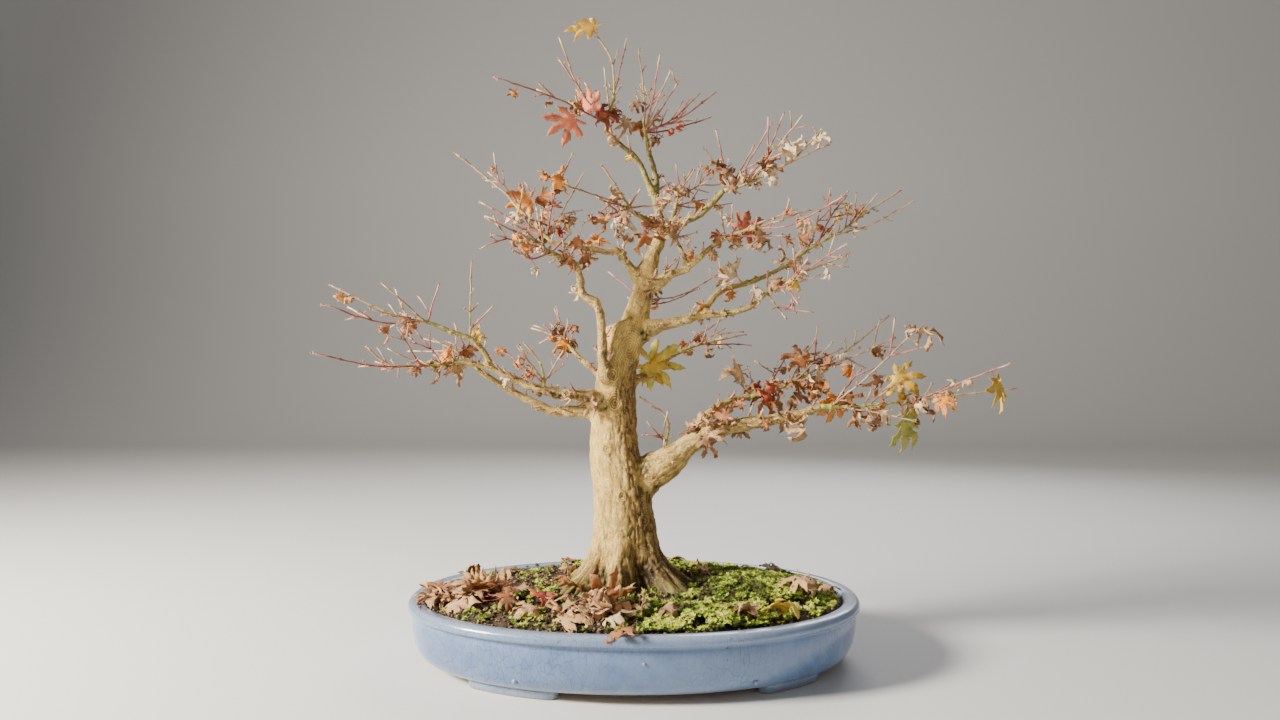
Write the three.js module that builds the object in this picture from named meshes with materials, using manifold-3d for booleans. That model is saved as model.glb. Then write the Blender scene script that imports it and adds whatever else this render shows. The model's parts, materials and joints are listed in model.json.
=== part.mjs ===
// A Japanese maple bonsai in late autumn, nearly bare, in a shallow oval pot with a blue glaze.
// Millimetres, +Z up, the viewer looks along +Y. The origin is the middle of the whole plant's
// outline, on the surface that the pot's feet stand on.
import * as THREE from "three";
import { mergeVertices } from "three/addons/utils/BufferGeometryUtils.js";
import Module from "manifold-3d";

const wasm = await Module();
wasm.setup();

// Driving dimensions of the pot.
const POT_MIDDLE = 2.5;
const POT_HALF_LENGTH = 213;
const POT_HALF_DEPTH = 155;
const POT_SQUARENESS = 2.13;
const POT_HEIGHT = 59;
const FOOT_HEIGHT = 7.5;
const RIM_WIDTH = 16;
const FLOOR_THICKNESS = 8;
const FLOOR_INSET = 30;
const COVE_HEIGHT = 12;
const FOOT_INSET = 19;
const FOOT_WIDTH = 16;
const OVAL_SIDES = 36;
const FOOT_SPANS_DEG = [[-137, -108], [-57, -33], [33, 62], [123, 150]];

// Driving dimensions of the ground in the pot and the clearances.
const SOIL_EDGE_HEIGHT = 55;
const SOIL_TOP_HEIGHT = 66;
const PLATEAU_SHARE = 0.49;
const GAP = 0.3;
const CUT_GAP = 0.35;
const SOIL_INSET = RIM_WIDTH + 1 + GAP;
const CLEAR_OF_OTHERS = 1;
const CLEAR_OF_OWN = 0.2;

// A low cushion of moss on the ground: middle, half sizes, height.
const MOSS_CUSHIONS = {
  moss_right: [116, -12, 58, 60, 9],
  moss_front: [68, -106, 33, 22, 8],
  moss_left: [-86, -60, 20, 17, 6],
  moss_back: [-20, 96, 74, 26, 8],
};

// Fallen leaves lie on the ground in drifts: a low matted heap, from which single leaves stand out.
// Middle, half sizes and height of the heap, and the number of leaves.
const DRIFTS = {
  fallen_leaves_left: { heap: [-146, -34, 36, 27, 9], leaves: 4 },
  fallen_leaves_front: { heap: [-22, -98, 38, 20, 8], leaves: 4 },
};

const MOSS_SIDES = 11;
const DRIFT_SIDES = 9;
const MOSS_SEED = 70;
const DRIFT_SEED = 80;

// The trunk: height, middle to the right, radius, depth of the middle.
const TRUNK_LEVELS = [
  [SOIL_TOP_HEIGHT + GAP, -4, 47, 0], [74, -5, 42, 0], [84, -6, 36, 0], [96, -7, 31.5, 0],
  [111, -7, 29, 0], [127, -7.5, 28, 0], [153, -9.5, 27, 0], [179, -13.5, 25, 1], [197, -16.5, 22.5, 1],
  [230, -16.5, 20.5, 1], [251, -16, 19.5, 1], [270, -14.5, 18.5, 1], [286, -12.5, 19.5, 1],
  [300, -9.5, 20.5, 1], [313, -6, 20, 1],
];
const STUMP_TOP = [314, 327];
const TRUNK_LEADER = [[1, 300, 1], [3, 318, 1], [8, 336, 1], [11.5, 349, 1], [11, 362, 1]];
const TRUNK_LEADER_RADII = [17, 8.6];

// The surface roots: bearing, reach beyond the trunk, half width in degrees.
const SURFACE_ROOTS = [
  [-152, 22, 20], [-112, 12, 15], [-74, 9, 13], [-34, 24, 17],
  [5, 19, 15], [48, 16, 18], [96, 17, 17], [150, 21, 19],
];
const ROOT_RISE = 27;

// The limbs: what each grows from, its radii at root and tip, and its line as right, up and depth.
const LIMBS = {
  bough_low_right: { on: "trunk", radii: [14, 3.4],
    path: [[6, 170, -4], [34, 182, -8], [55, 200, -14], [76, 211, -19], [98, 218, -24],
      [130, 223, -30], [157, 229, -34], [183, 237, -38]] },
  bough_low_right_arch: { on: "bough_low_right", radii: [5, 3],
    path: [[54, 200, -13], [64, 217, -9], [79, 234, -4], [95, 243, 1], [115, 246, 5]] },
  bough_low_left_lower: { on: "trunk", radii: [6.5, 2.8],
    path: [[-24, 229, 2], [-44, 232, 4], [-77, 233, 8], [-92, 240, 10], [-118, 253, 13],
      [-146, 271, 17]] },
  bough_low_left_upper: { on: "trunk", radii: [7, 2.6],
    path: [[-20, 234, -10], [-40, 246, -17], [-58, 247, -16], [-87, 253, -12], [-111, 262, -9],
      [-134, 273, -7], [-158, 279, -6], [-173, 279, -5]] },
  bough_low_left_rising: { on: "bough_low_left_upper", radii: [3.3, 2.4],
    path: [[-135, 273, -7], [-141, 288, -9], [-154, 301, -11], [-177, 310, -14], [-190, 316, -16]] },
  bough_riser: { on: "trunk", radii: [5.4, 3.8],
    path: [[-22, 258, -13], [-27, 276, -23], [-28.5, 307, -26], [-30, 324, -26], [-32, 336, -26]] },
  bough_riser_upper: { on: "bough_riser", radii: [4, 2.8],
    path: [[-32, 335, -26], [-47, 345, -28], [-49, 360, -29], [-55, 374, -31], [-73, 382, -35]] },
  bough_mid_right: { on: "trunk", radii: [6.2, 4.2],
    path: [[8, 309, -3], [31, 315.5, -6], [44, 318, -7], [59, 322.5, -8], [70, 326.5, -9]] },
  bough_mid_right_lower: { on: "bough_mid_right", radii: [3.6, 2.5],
    path: [[69, 326, -9], [82, 325, -14], [96, 327, -19], [111, 331, -24], [126, 343, -28]] },
  bough_mid_right_upper: { on: "bough_mid_right", radii: [3.6, 2.2],
    path: [[66, 325, -8], [73, 334, -4], [81, 344, 0], [89, 349.5, 4], [110, 355, 8],
      [136, 365.5, 12], [161, 381, 16]] },
  bough_upper_right: { on: "trunk", radii: [5.6, 3.2],
    path: [[12, 350, 0], [29, 357, -4], [37, 364, -6], [49, 367, -8], [58, 373, -10],
      [64, 378, -11]] },
  bough_upper_right_outer: { on: "bough_upper_right", radii: [2.9, 2.2],
    path: [[63.5, 377.5, -11], [70, 384.5, -14], [78, 391, -16], [86, 396, -18]] },
  bough_upper_right_inner: { on: "bough_upper_right", radii: [2.8, 2],
    path: [[54, 370, -9], [51, 379, -8], [48, 386, -7], [44, 394, -6]] },
  bough_upper_left: { on: "trunk", radii: [5, 3],
    path: [[9, 354, 0], [2, 366, -3], [-4, 374, -5], [-10, 384, -7], [-14, 389, -8]] },
  bough_upper_left_outer: { on: "bough_upper_left", radii: [3.1, 2.3],
    path: [[-13, 388, -8], [-24, 385, -11], [-35, 387.5, -14], [-58, 390.5, -18], [-78, 395, -21]] },
  leader: { on: "trunk", radii: [8, 4],
    path: [[11, 356, 2], [19, 379, 5], [25, 394, 7], [27, 411, 8], [25, 429, 8], [20, 444, 7]] },
  leader_left: { on: "leader", radii: [3.2, 2.3],
    path: [[20, 443, 7], [15, 453, 5], [11, 464, 4], [4, 476, 2], [-7, 485, 0], [-17, 494, -2],
      [-26, 502, -4]] },
  leader_top: { on: "leader", radii: [3.4, 2.5],
    path: [[23, 438, 8], [24, 450, 14], [21, 466, 16], [17, 480, 16], [14, 494, 14]] },
  bough_crown_right: { on: "leader", radii: [4.4, 2.8],
    path: [[25, 399, 7], [40, 408.5, 3], [50, 415, 0], [61, 418.5, -3], [72.5, 427, -5],
      [82, 437, -7], [89, 445, -9]] },
  bough_crown_front: { on: "leader", radii: [3.6, 2.3],
    path: [[26, 410, 7], [21, 413, -9], [11, 418, -25], [0, 424, -39]] },
  bough_back_high: { on: "leader", radii: [4, 2.4],
    path: [[26, 390, 7], [32, 402, 26], [38, 414, 46], [42, 426, 62]] },
  bough_back_low: { on: "trunk", radii: [6, 2.8],
    path: [[-8, 286, 8], [-3, 300, 34], [4, 314, 56], [12, 330, 76]] },
  bough_back_right: { on: "trunk", radii: [4.6, 2.4],
    path: [[-6, 256, 10], [10, 266, 28], [24, 275, 38], [41, 287, 48]] },
  bough_back_left: { on: "trunk", radii: [4.6, 2.3],
    path: [[-20, 258, 10], [-34, 270, 28], [-48, 282, 40], [-58, 292, 48]] },
};
const TAPER = 1.5;

// The masses of twigs: the limb each grows from, the line of its stem from the limb's tip, the
// depth range its tips keep to, its long shoots as right, up and where they leave the stem, the
// pairs of side twigs and the dry leaves that still hang on it, and the leaves whose place is known.
const MASSES = {
  twigs_low_right_tip: { on: "bough_low_right", seed: 11, depth: [-120, 30],
    pairs: 3, leaves: 5,
    stem: [[216, 237], [256, 241], [286, 245], [369, 254]],
    shoots: [[363, 278, 0.5], [272, 309, 0.05], [272, 223, 0.1], [252, 262, 0.25],
      [221, 273, 0.02], [310, 262, 0.3]],
    hung: [[354, 246, 26], [284, 311, 30], [266, 211, 40], [252, 252, 34]] },
  twigs_low_right_arch: { on: "bough_low_right_arch", seed: 12, depth: [-20, 100],
    pairs: 3, leaves: 7,
    stem: [[146, 256], [179, 273], [210, 293], [246, 323]],
    shoots: [[253, 303, 0.45], [192, 298, 0.3], [176, 301, 0.25], [148, 285, 0.1],
      [139, 279, 0.04], [112, 275, 0.02]],
    hung: [[152, 290, 32], [196, 262, 34]] },
  twigs_low_right_spur: { on: "bough_low_right", at: 0.13, seed: 13, depth: [-30, 20],
    pairs: 1, leaves: 1,
    stem: [[35, 218], [31, 230], [9, 245]],
    shoots: [[16, 221, 0.3], [58, 252, 0.15]],
    hung: [] },
  twigs_low_left_tip: { on: "bough_low_left_upper", seed: 21, depth: [-90, 50],
    pairs: 3, leaves: 3,
    stem: [[-193, 276], [-220, 274], [-240, 281], [-254, 294]],
    shoots: [[-305, 288, 0.25], [-224, 312, 0.35], [-235, 293, 0.3], [-212, 316, 0.12],
      [-246, 280, 0.5]],
    hung: [[-178, 284, 32]] },
  twigs_low_left_rise: { on: "bough_low_left_rising", seed: 22, depth: [-60, 40],
    pairs: 2, leaves: 1,
    stem: [[-203, 319], [-221, 322], [-289, 353]],
    shoots: [[-297, 335, 0.12], [-239, 355, 0.08], [-185, 354, 0.01], [-222, 327, 0.1],
      [-250, 330, 0.05]],
    hung: [] },
  twigs_low_left_upright: { on: "bough_low_left_rising", at: 0.5, seed: 23, depth: [-30, -5],
    pairs: 0, leaves: 0,
    stem: [[-155, 312], [-155, 328], [-154, 376]],
    shoots: [[-133, 333, 0.12]], hung: [[-147, 307, 26]] },
  twigs_low_left_inner: { on: "bough_low_left_upper", at: 0.42, seed: 24, depth: [-55, 10],
    pairs: 1, leaves: 2,
    stem: [[-85, 270], [-90, 282], [-103, 297]],
    shoots: [[-109, 294, 0.2], [-66, 290, 0.12], [-122, 290, 0.08]], hung: [[-122, 289, 16]] },
  twigs_low_left_back: { on: "bough_low_left_lower", seed: 25, depth: [20, 130],
    pairs: 2, leaves: 2,
    stem: [[-160, 284], [-180, 296], [-200, 302]],
    shoots: [[-170, 316, 0.2], [-215, 290, 0.5], [-140, 300, 0.05], [-190, 286, 0.15]],
    hung: [] },
  twigs_left_crown_low: { on: "bough_riser_upper", seed: 31, depth: [-110, -10],
    pairs: 3, leaves: 5,
    stem: [[-83, 389], [-98, 402], [-114, 412]],
    shoots: [[-110, 388, 0.04], [-140, 418, 0.4], [-134, 402, 0.2], [-92, 428, 0.3],
      [-60, 402, 0.02]],
    hung: [[-66, 388, 30], [-86, 372, 24]] },
  twigs_left_crown_high: { on: "bough_upper_left_outer", seed: 32, depth: [-20, 110],
    pairs: 3, leaves: 7,
    stem: [[-92, 410], [-108, 426], [-122, 442], [-169, 480]],
    shoots: [[-145, 433, 0.1], [-141, 420, 0.06], [-138, 462, 0.3], [-102, 452, 0.15],
      [-57, 479, 0.04], [-46, 461, 0.02], [-76, 446, 0.05]],
    hung: [[-76, 452, 32], [-112, 430, 30], [-62, 404, 34]] },
  twigs_apex_left: { on: "leader_left", seed: 41, depth: [-70, 40],
    pairs: 2, leaves: 4,
    stem: [[-22, 516], [-18, 531], [-19, 568], [-36, 597]],
    shoots: [[-131, 553, 0.02], [-69, 590, 0.05], [-70, 571, 0.07], [-26, 561, 0.2],
      [-5, 589, 0.12], [-45, 548, 0.1]],
    hung: [[-50, 596, 30], [-71, 507, 40], [-30, 520, 34]] },
  twigs_apex_top: { on: "leader_top", seed: 42, depth: [-40, 80],
    pairs: 3, leaves: 2,
    stem: [[12, 509], [13, 524], [7, 577]],
    shoots: [[27, 573, 0.12], [37, 559, 0.1], [46, 551, 0.08], [80, 538, 0.1], [64, 536, 0.05],
      [75, 514, 0.02], [58, 512, 0.02]],
    hung: [] },
  twigs_crown_right: { on: "bough_crown_right", seed: 51, depth: [-95, 40],
    pairs: 3, leaves: 5,
    stem: [[103, 448], [124, 457], [151, 471], [188, 488]],
    shoots: [[182, 503, 0.45], [164, 516, 0.25], [146, 518, 0.15], [134, 508, 0.1],
      [117, 487, 0.03], [81, 502, 0.02], [69, 485, 0.01]],
    hung: [[152, 471, 34], [128, 460, 26]] },
  twigs_upper_right: { on: "bough_upper_right_outer", seed: 52, depth: [-110, 0],
    pairs: 2, leaves: 4,
    stem: [[103, 404], [122, 409], [172, 426]],
    shoots: [[202, 438, 0.4], [85, 425, 0.02], [147, 401, 0.15], [157, 426, 0.25], [112, 424, 0.1]],
    hung: [[118, 407, 40], [88, 372, 36]] },
  twigs_upper_right_inner: { on: "bough_upper_right_inner", seed: 53, depth: [-50, 0],
    pairs: 0, leaves: 4,
    stem: [[41, 404], [40, 414]],
    shoots: [[30, 424, 0.3], [56, 421, 0.2], [62, 404, 0.1], [22, 404, 0.1]], hung: [[12, 392, 40]] },
  twigs_mid_right_upper: { on: "bough_mid_right_upper", seed: 54, depth: [0, 120],
    pairs: 4, leaves: 2,
    stem: [[172, 389], [198, 403], [224, 422], [258, 444]],
    shoots: [[270, 434, 0.35], [235, 440, 0.55], [222, 431, 0.5], [206, 439, 0.2],
      [198, 417, 0.15], [180, 424, 0.05], [158, 424, 0.01]],
    hung: [] },
  twigs_mid_right_lower: { on: "bough_mid_right_lower", seed: 55, depth: [-120, -10],
    pairs: 3, leaves: 4,
    stem: [[140, 352], [162, 364], [208, 383]],
    shoots: [[169, 378, 0.2], [206, 393, 0.5], [148, 322, 0.02], [180, 362, 0.1], [130, 366, 0.06]],
    hung: [[106, 344, 28]] },
  twigs_back_right: { on: "bough_back_right", seed: 61, depth: [50, 140],
    pairs: 2, leaves: 2,
    stem: [[64, 296], [82, 300], [109, 306]],
    shoots: [[90, 312, 0.3], [114, 296, 0.4], [67, 308, 0.1]], hung: [[34, 274, 44]] },
  twigs_back_left: { on: "bough_back_left", seed: 62, depth: [50, 145],
    pairs: 2, leaves: 3,
    stem: [[-66, 303], [-78, 316]],
    shoots: [[-56, 308, 0.1], [-96, 312, 0.4], [-74, 330, 0.3]], hung: [[-72, 296, 24]] },
  twigs_back_low: { on: "bough_back_low", seed: 63, depth: [80, 190],
    pairs: 4, leaves: 5,
    stem: [[20, 346], [30, 362], [42, 378]],
    shoots: [[70, 388, 0.4], [10, 384, 0.3], [-22, 366, 0.1], [64, 350, 0.1], [90, 368, 0.2],
      [-4, 342, 0.05]],
    hung: [] },
  twigs_back_high: { on: "bough_back_high", seed: 64, depth: [60, 160],
    pairs: 3, leaves: 4,
    stem: [[44, 436], [48, 448], [58, 464]],
    shoots: [[30, 456, 0.3], [76, 456, 0.3], [42, 470, 0.5], [72, 436, 0.1], [16, 440, 0.05],
      [96, 432, 0.05]],
    hung: [] },
  twigs_crown_front: { on: "bough_crown_front", seed: 65, depth: [-125, -45],
    pairs: 2, leaves: 5,
    stem: [[-8, 438], [-28, 468]],
    shoots: [[-76, 454, 0.02], [-32, 436, 0.1], [-46, 414, 0.04], [8, 446, 0.15], [28, 430, 0.03]],
    hung: [[-8, 420, 34], [-30, 428, 26]] },
};
const TIP_RADIUS = 0.62;
const SHOOT_ROOT_RADIUS = 1.15;
const SIDE_ROOT_RADIUS = 0.85;
const SIDE_TWIG_MM = [14, 38];
const SIDE_SPREAD_DEG = 42;
const UPWARD = 0.35;
const SHOOT_ATTEMPTS = 6;
const FIRST_SHOOT_MM = 7;
const STEM_RADIUS = 1.9;
const SPUR_RADIUS = 2;
const STEM_SUNK = 1.5;
const GOLDEN = 0.618;
const SHOOT_BOW = 0.14;
const BOWED_FROM_MM = 70;

// A dry leaf: pointed lobes round the top of its stalk, curled down towards their tips. Blade
// and stalk are one skin: the stalk's three corners are stitched to the open base of the blade.
const NOTCH = 0.36;
const LOBES = [[-88, 0.62], [-43, 0.86], [-22, NOTCH], [0, 1], [22, NOTCH], [43, 0.86], [88, 0.62]];
const LEAF_BASE = [150, 0.2, 0.5];
const LEAF_THICKNESS = 0.9;
const STALK_RADIUS = 0.55;
const STALK_MM = [6, 12];
const BLADE_MM = [9, 17];
const PLACED_STALK_MM = [6, 24];
const BLADE_SHARE = 0.6;
const LEAF_ROOM = 0.45;
const LEAF_OWN_SHARE = 0.2;

// The viewer's eye. The tree is read on the upright plane through the pot's middle, as millimetres
// to the right and up, and depth then moves a point along the line from the eye through it.
const EYE = new THREE.Vector3(8, -890, 272);

function seen(right, up, depth) {
  const reach = (depth - EYE.y) / -EYE.y;
  return new THREE.Vector3(EYE.x + (right - EYE.x) * reach, depth, EYE.z + (up - EYE.z) * reach);
}

// A repeatable stream of numbers from 0 to 1.
function randomFrom(seed) {
  let state = seed >>> 0;
  return () => {
    state = (Math.imul(state, 1664525) + 1013904223) >>> 0;
    return state / 4294967296;
  };
}

// Materials, one for each finish.
function finish(color, roughness) {
  return new THREE.MeshStandardMaterial({ color, roughness, metalness: 0 });
}
const GLAZE = finish(0x7d9cc4, 0.25);
const SOIL = finish(0x3a2f22, 0.95);
const MOSS = finish(0x7d9a2e, 0.95);
const OLD_BARK = finish(0xc4ae7c, 0.8);
const YOUNG_BARK = finish(0x9c9a55, 0.6);
const TWIGS = finish(0xa8806a, 0.7);
const DRY_LEAF = finish(0xb0713c, 0.85);

// A closed surface through rings that have the same number of points. Each ring turns
// anticlockwise as seen against the way that the rings follow each other.
function loft(rings) {
  const count = rings[0].length;
  const points = rings.flat();
  const faces = [];
  for (let k = 0; k + 1 < rings.length; k++) {
    for (let i = 0; i < count; i++) {
      const a = k * count + i;
      const b = k * count + ((i + 1) % count);
      faces.push(a, b, b + count, a, b + count, a + count);
    }
  }
  for (const [ring, first] of [[rings[0], 0], [rings.at(-1), (rings.length - 1) * count]]) {
    const last = first > 0;
    if (count < 5) {
      for (let i = 1; i + 1 < count; i++) {
        faces.push(first, first + (last ? i : i + 1), first + (last ? i + 1 : i));
      }
    } else {
      const middle = points.length;
      const centre = new THREE.Vector3();
      ring.forEach((p) => centre.addScaledVector(p, 1 / count));
      points.push(centre);
      for (let i = 0; i < count; i++) {
        const j = (i + 1) % count;
        faces.push(middle, first + (last ? i : j), first + (last ? j : i));
      }
    }
  }
  const geometry = new THREE.BufferGeometry().setFromPoints(points);
  geometry.setIndex(faces);
  return geometry;
}

// Solids from geometry and back, and their joins.
function solidOf(geometry) {
  const bare = new THREE.BufferGeometry();
  bare.setAttribute("position", geometry.getAttribute("position"));
  bare.setIndex(geometry.index);
  const merged = mergeVertices(bare, 1e-4);
  return new wasm.Manifold(
    new wasm.Mesh({
      numProp: 3,
      vertProperties: merged.attributes.position.array,
      triVerts: new Uint32Array(merged.index.array),
    }),
  );
}

function joined(solids) {
  let pieces = solids;
  while (pieces.length > 1) {
    const next = [];
    for (let i = 0; i < pieces.length; i += 2) {
      next.push(i + 1 < pieces.length ? pieces[i].add(pieces[i + 1]) : pieces[i]);
    }
    pieces = next;
  }
  return pieces[0];
}

function largestPiece(solid) {
  return solid.decompose().reduce((best, s) => (s.volume() > best.volume() ? s : best));
}

const bonsai = new THREE.Group();

function addNode(name, solid, material) {
  const mesh = solid.getMesh();
  const positions = new Float32Array(mesh.numVert * 3);
  for (let i = 0; i < mesh.numVert; i++) {
    positions.set(mesh.vertProperties.subarray(i * mesh.numProp, i * mesh.numProp + 3), i * 3);
  }
  const geometry = new THREE.BufferGeometry();
  geometry.setAttribute("position", new THREE.BufferAttribute(positions, 3));
  geometry.setIndex(new THREE.BufferAttribute(mesh.triVerts, 1));
  geometry.computeVertexNormals();
  const piece = new THREE.Mesh(geometry, material);
  piece.name = name;
  bonsai.add(piece);
}

// The pot: an oval outline, drawn in from the rim's outer edge by an inset at each height.
function ovalPoint(angle, inset, height) {
  const c = Math.cos(angle);
  const s = Math.sin(angle);
  const power = 2 / POT_SQUARENESS;
  const x = POT_MIDDLE + (POT_HALF_LENGTH - inset) * Math.sign(c) * Math.abs(c) ** power;
  const y = (POT_HALF_DEPTH - inset) * Math.sign(s) * Math.abs(s) ** power;
  return new THREE.Vector3(x, y, height);
}

function ovalRing(inset, height) {
  const turn = (2 * Math.PI) / OVAL_SIDES;
  return Array.from({ length: OVAL_SIDES }, (_, i) => ovalPoint(i * turn, inset, height));
}

function ovalPrism(inset, from, to) {
  return solidOf(loft([ovalRing(inset, from), ovalRing(inset, to)]));
}

function potSolid() {
  const top = POT_HEIGHT;
  const inside = FOOT_HEIGHT + FLOOR_THICKNESS;
  // Inset and height of each ring: out and up the wall, over the lip and down to the floor inside.
  const profile = [
    [17, FOOT_HEIGHT], [11, FOOT_HEIGHT + 4], [6, FOOT_HEIGHT + 16], [4, FOOT_HEIGHT + 30], [4.5, top - 11],
    [0, top - 7], [1.5, top - 1.5], [5, top], [RIM_WIDTH - 3, top], [RIM_WIDTH, top - 2.5],
    [RIM_WIDTH + 1, inside + COVE_HEIGHT], [FLOOR_INSET, inside],
  ];
  const bowl = solidOf(loft(profile.map(([inset, height]) => ovalRing(inset, height))));
  const feet = FOOT_SPANS_DEG.map(([from, to]) => {
    const steps = 5;
    const root = FOOT_HEIGHT + 2;
    const [outer, inner] = [FOOT_INSET, FOOT_INSET + FOOT_WIDTH];
    const section = [[outer, 0], [inner, 0], [inner - 2, root], [outer - 2, root]];
    const rings = Array.from({ length: steps + 1 }, (_, k) => {
      const angle = THREE.MathUtils.degToRad(from + ((to - from) * k) / steps);
      return section.map(([inset, height]) => ovalPoint(angle, inset, height));
    });
    return solidOf(loft(rings));
  });
  return joined([bowl, ...feet]);
}

// The ground: level round the trunk, then falling away to just under the rim.
function groundLift(x, y) {
  const across = Math.abs((x - POT_MIDDLE) / (POT_HALF_LENGTH - SOIL_INSET)) ** POT_SQUARENESS;
  const deep = Math.abs(y / (POT_HALF_DEPTH - SOIL_INSET)) ** POT_SQUARENESS;
  const outward = (across + deep) ** (1 / POT_SQUARENESS);
  const share = THREE.MathUtils.clamp((outward - PLATEAU_SHARE) / (1 - PLATEAU_SHARE), 0, 1);
  return (SOIL_TOP_HEIGHT - SOIL_EDGE_HEIGHT) * (1 - share * share);
}

function soilSolid() {
  const inside = FOOT_HEIGHT + FLOOR_THICKNESS + GAP;
  const edge = ovalRing(SOIL_INSET, SOIL_EDGE_HEIGHT);
  const rings = [ovalRing(FLOOR_INSET + 1, inside), ovalRing(SOIL_INSET + GAP, inside + COVE_HEIGHT), edge];
  for (const share of [0.76, PLATEAU_SHARE]) {
    rings.push(edge.map((p) => {
      const x = POT_MIDDLE + share * (p.x - POT_MIDDLE);
      const y = share * p.y;
      return new THREE.Vector3(x, y, SOIL_EDGE_HEIGHT + groundLift(x, y));
    }));
  }
  return solidOf(loft(rings));
}

function cushionSolid([x, y, halfLength, halfDepth, height], sides, seed) {
  const random = randomFrom(seed);
  const waves = Array.from({ length: 3 }, () => random() * 2 * Math.PI);
  const ring = (share, rise) => Array.from({ length: sides }, (_, i) => {
    const angle = (2 * Math.PI * i) / sides;
    const wave = 1 + 0.1 * Math.sin(2 * angle + waves[0]) + 0.07 * Math.sin(5 * angle + waves[1]);
    const px = x + halfLength * share * wave * Math.cos(angle);
    const py = y + halfDepth * share * wave * Math.sin(angle);
    const bump = 1 + 0.12 * Math.sin(px / 9 + waves[2]) * Math.cos(py / 8);
    return new THREE.Vector3(px, py, SOIL_EDGE_HEIGHT + groundLift(px, py) + rise * bump);
  });
  return solidOf(loft([ring(0.95, -5), ring(1, 0.4 * height), ring(0.72, height), ring(0.3, height)]));
}

function trunkRing(sides, level, extra) {
  const [up, right, radius, depth] = level;
  const height = up - SOIL_TOP_HEIGHT;
  const flare = Math.exp(-height / ROOT_RISE) * Math.exp(-((height / (2.2 * ROOT_RISE)) ** 2));
  return Array.from({ length: sides }, (_, i) => {
    const degrees = (360 * i) / sides;
    const angle = THREE.MathUtils.degToRad(degrees);
    let reach = radius * (1 + 0.035 * Math.sin(3 * angle + up / 40) + 0.02 * Math.sin(5 * angle - up / 30));
    for (const [bearing, length, spread] of SURFACE_ROOTS) {
      const off = ((((degrees - bearing) % 360) + 540) % 360) - 180;
      reach += length * flare * Math.exp(-((off / spread) ** 2));
    }
    reach += extra;
    return new THREE.Vector3(right + reach * Math.cos(angle), depth + reach * Math.sin(angle), up);
  });
}

function trunkSolid(extra = 0) {
  const sides = 24;
  const rings = TRUNK_LEVELS.map((level) => trunkRing(sides, level, extra));
  // The old cut that topped the trunk slopes down to the left.
  const [, right, radius, depth] = TRUNK_LEVELS.at(-1);
  rings.push(Array.from({ length: sides }, (_, i) => {
    const angle = (2 * Math.PI * i) / sides;
    const reach = radius * 0.86 + extra;
    const up = THREE.MathUtils.lerp(...STUMP_TOP, (1 + Math.cos(angle)) / 2);
    return new THREE.Vector3(right + reach * Math.cos(angle), depth + reach * Math.sin(angle), up + extra);
  }));
  const leader = limbSolid({ path: TRUNK_LEADER, radii: TRUNK_LEADER_RADII, sides: 14, steps: 5 }, extra);
  return solidOf(loft(rings)).add(leader);
}

// Points along a smooth line through the path, with the radius at each.
function limbLine(limb, steps) {
  const points = limb.path.map(([right, up, depth]) => seen(right, up, depth));
  const curve = new THREE.CatmullRomCurve3(points, false, "centripetal");
  const [root, tip] = limb.radii;
  return Array.from({ length: steps + 1 }, (_, k) => {
    const share = k / steps;
    return { at: curve.getPointAt(share), radius: tip + (root - tip) * (1 - share) ** TAPER };
  });
}

// Rings square to a line of points, each turned as little as possible from the one before. Extra
// swells them and moves both ends outward.
function ringsAlong(line, sides, extra = 0) {
  let side = null;
  return line.map(({ at, radius }, k) => {
    const before = line[Math.max(k - 1, 0)].at;
    const after = line[Math.min(k + 1, line.length - 1)].at;
    const along = after.clone().sub(before).normalize();
    side ??= Math.abs(along.y) < 0.9 ? new THREE.Vector3(0, 1, 0) : new THREE.Vector3(0, 0, 1);
    side = side.clone().addScaledVector(along, -side.dot(along)).normalize();
    const other = along.clone().cross(side);
    const end = k === 0 ? -extra : k === line.length - 1 ? extra : 0;
    return Array.from({ length: sides }, (_, i) => {
      const angle = (2 * Math.PI * i) / sides;
      const out = side.clone().multiplyScalar(Math.cos(angle)).addScaledVector(other, Math.sin(angle));
      return at.clone().addScaledVector(along, end).addScaledVector(out, radius + extra);
    });
  });
}

function limbSolid(limb, extra = 0) {
  const sides = limb.sides ?? (limb.radii[0] > 5 ? 8 : 5);
  const steps = limb.steps ?? Math.round(1.25 * (limb.path.length - 1));
  return solidOf(loft(ringsAlong(limbLine(limb, steps), sides, extra)));
}

// What is already in the crown, as short round bars, each with the node that it belongs to.
const taken = [];

function take(owner, a, b, radius) {
  taken.push({ owner, a, b, radius });
}

// The shortest distance between two straight bars.
function barDistance(p1, q1, p2, q2) {
  const d1 = q1.clone().sub(p1);
  const d2 = q2.clone().sub(p2);
  const r = p1.clone().sub(p2);
  const a = d1.dot(d1);
  const e = d2.dot(d2);
  const f = d2.dot(r);
  const c = d1.dot(r);
  const b = d1.dot(d2);
  const clamp = (value) => Math.min(Math.max(value, 0), 1);
  const spread = a * e - b * b;
  let s = spread > 1e-9 ? clamp((b * f - c * e) / spread) : 0;
  let t = (b * s + f) / e;
  if (t < 0 || t > 1) {
    t = clamp(t);
    s = clamp((b * t - c) / a);
  }
  return p1.clone().addScaledVector(d1, s).distanceTo(p2.clone().addScaledVector(d2, t));
}

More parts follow.
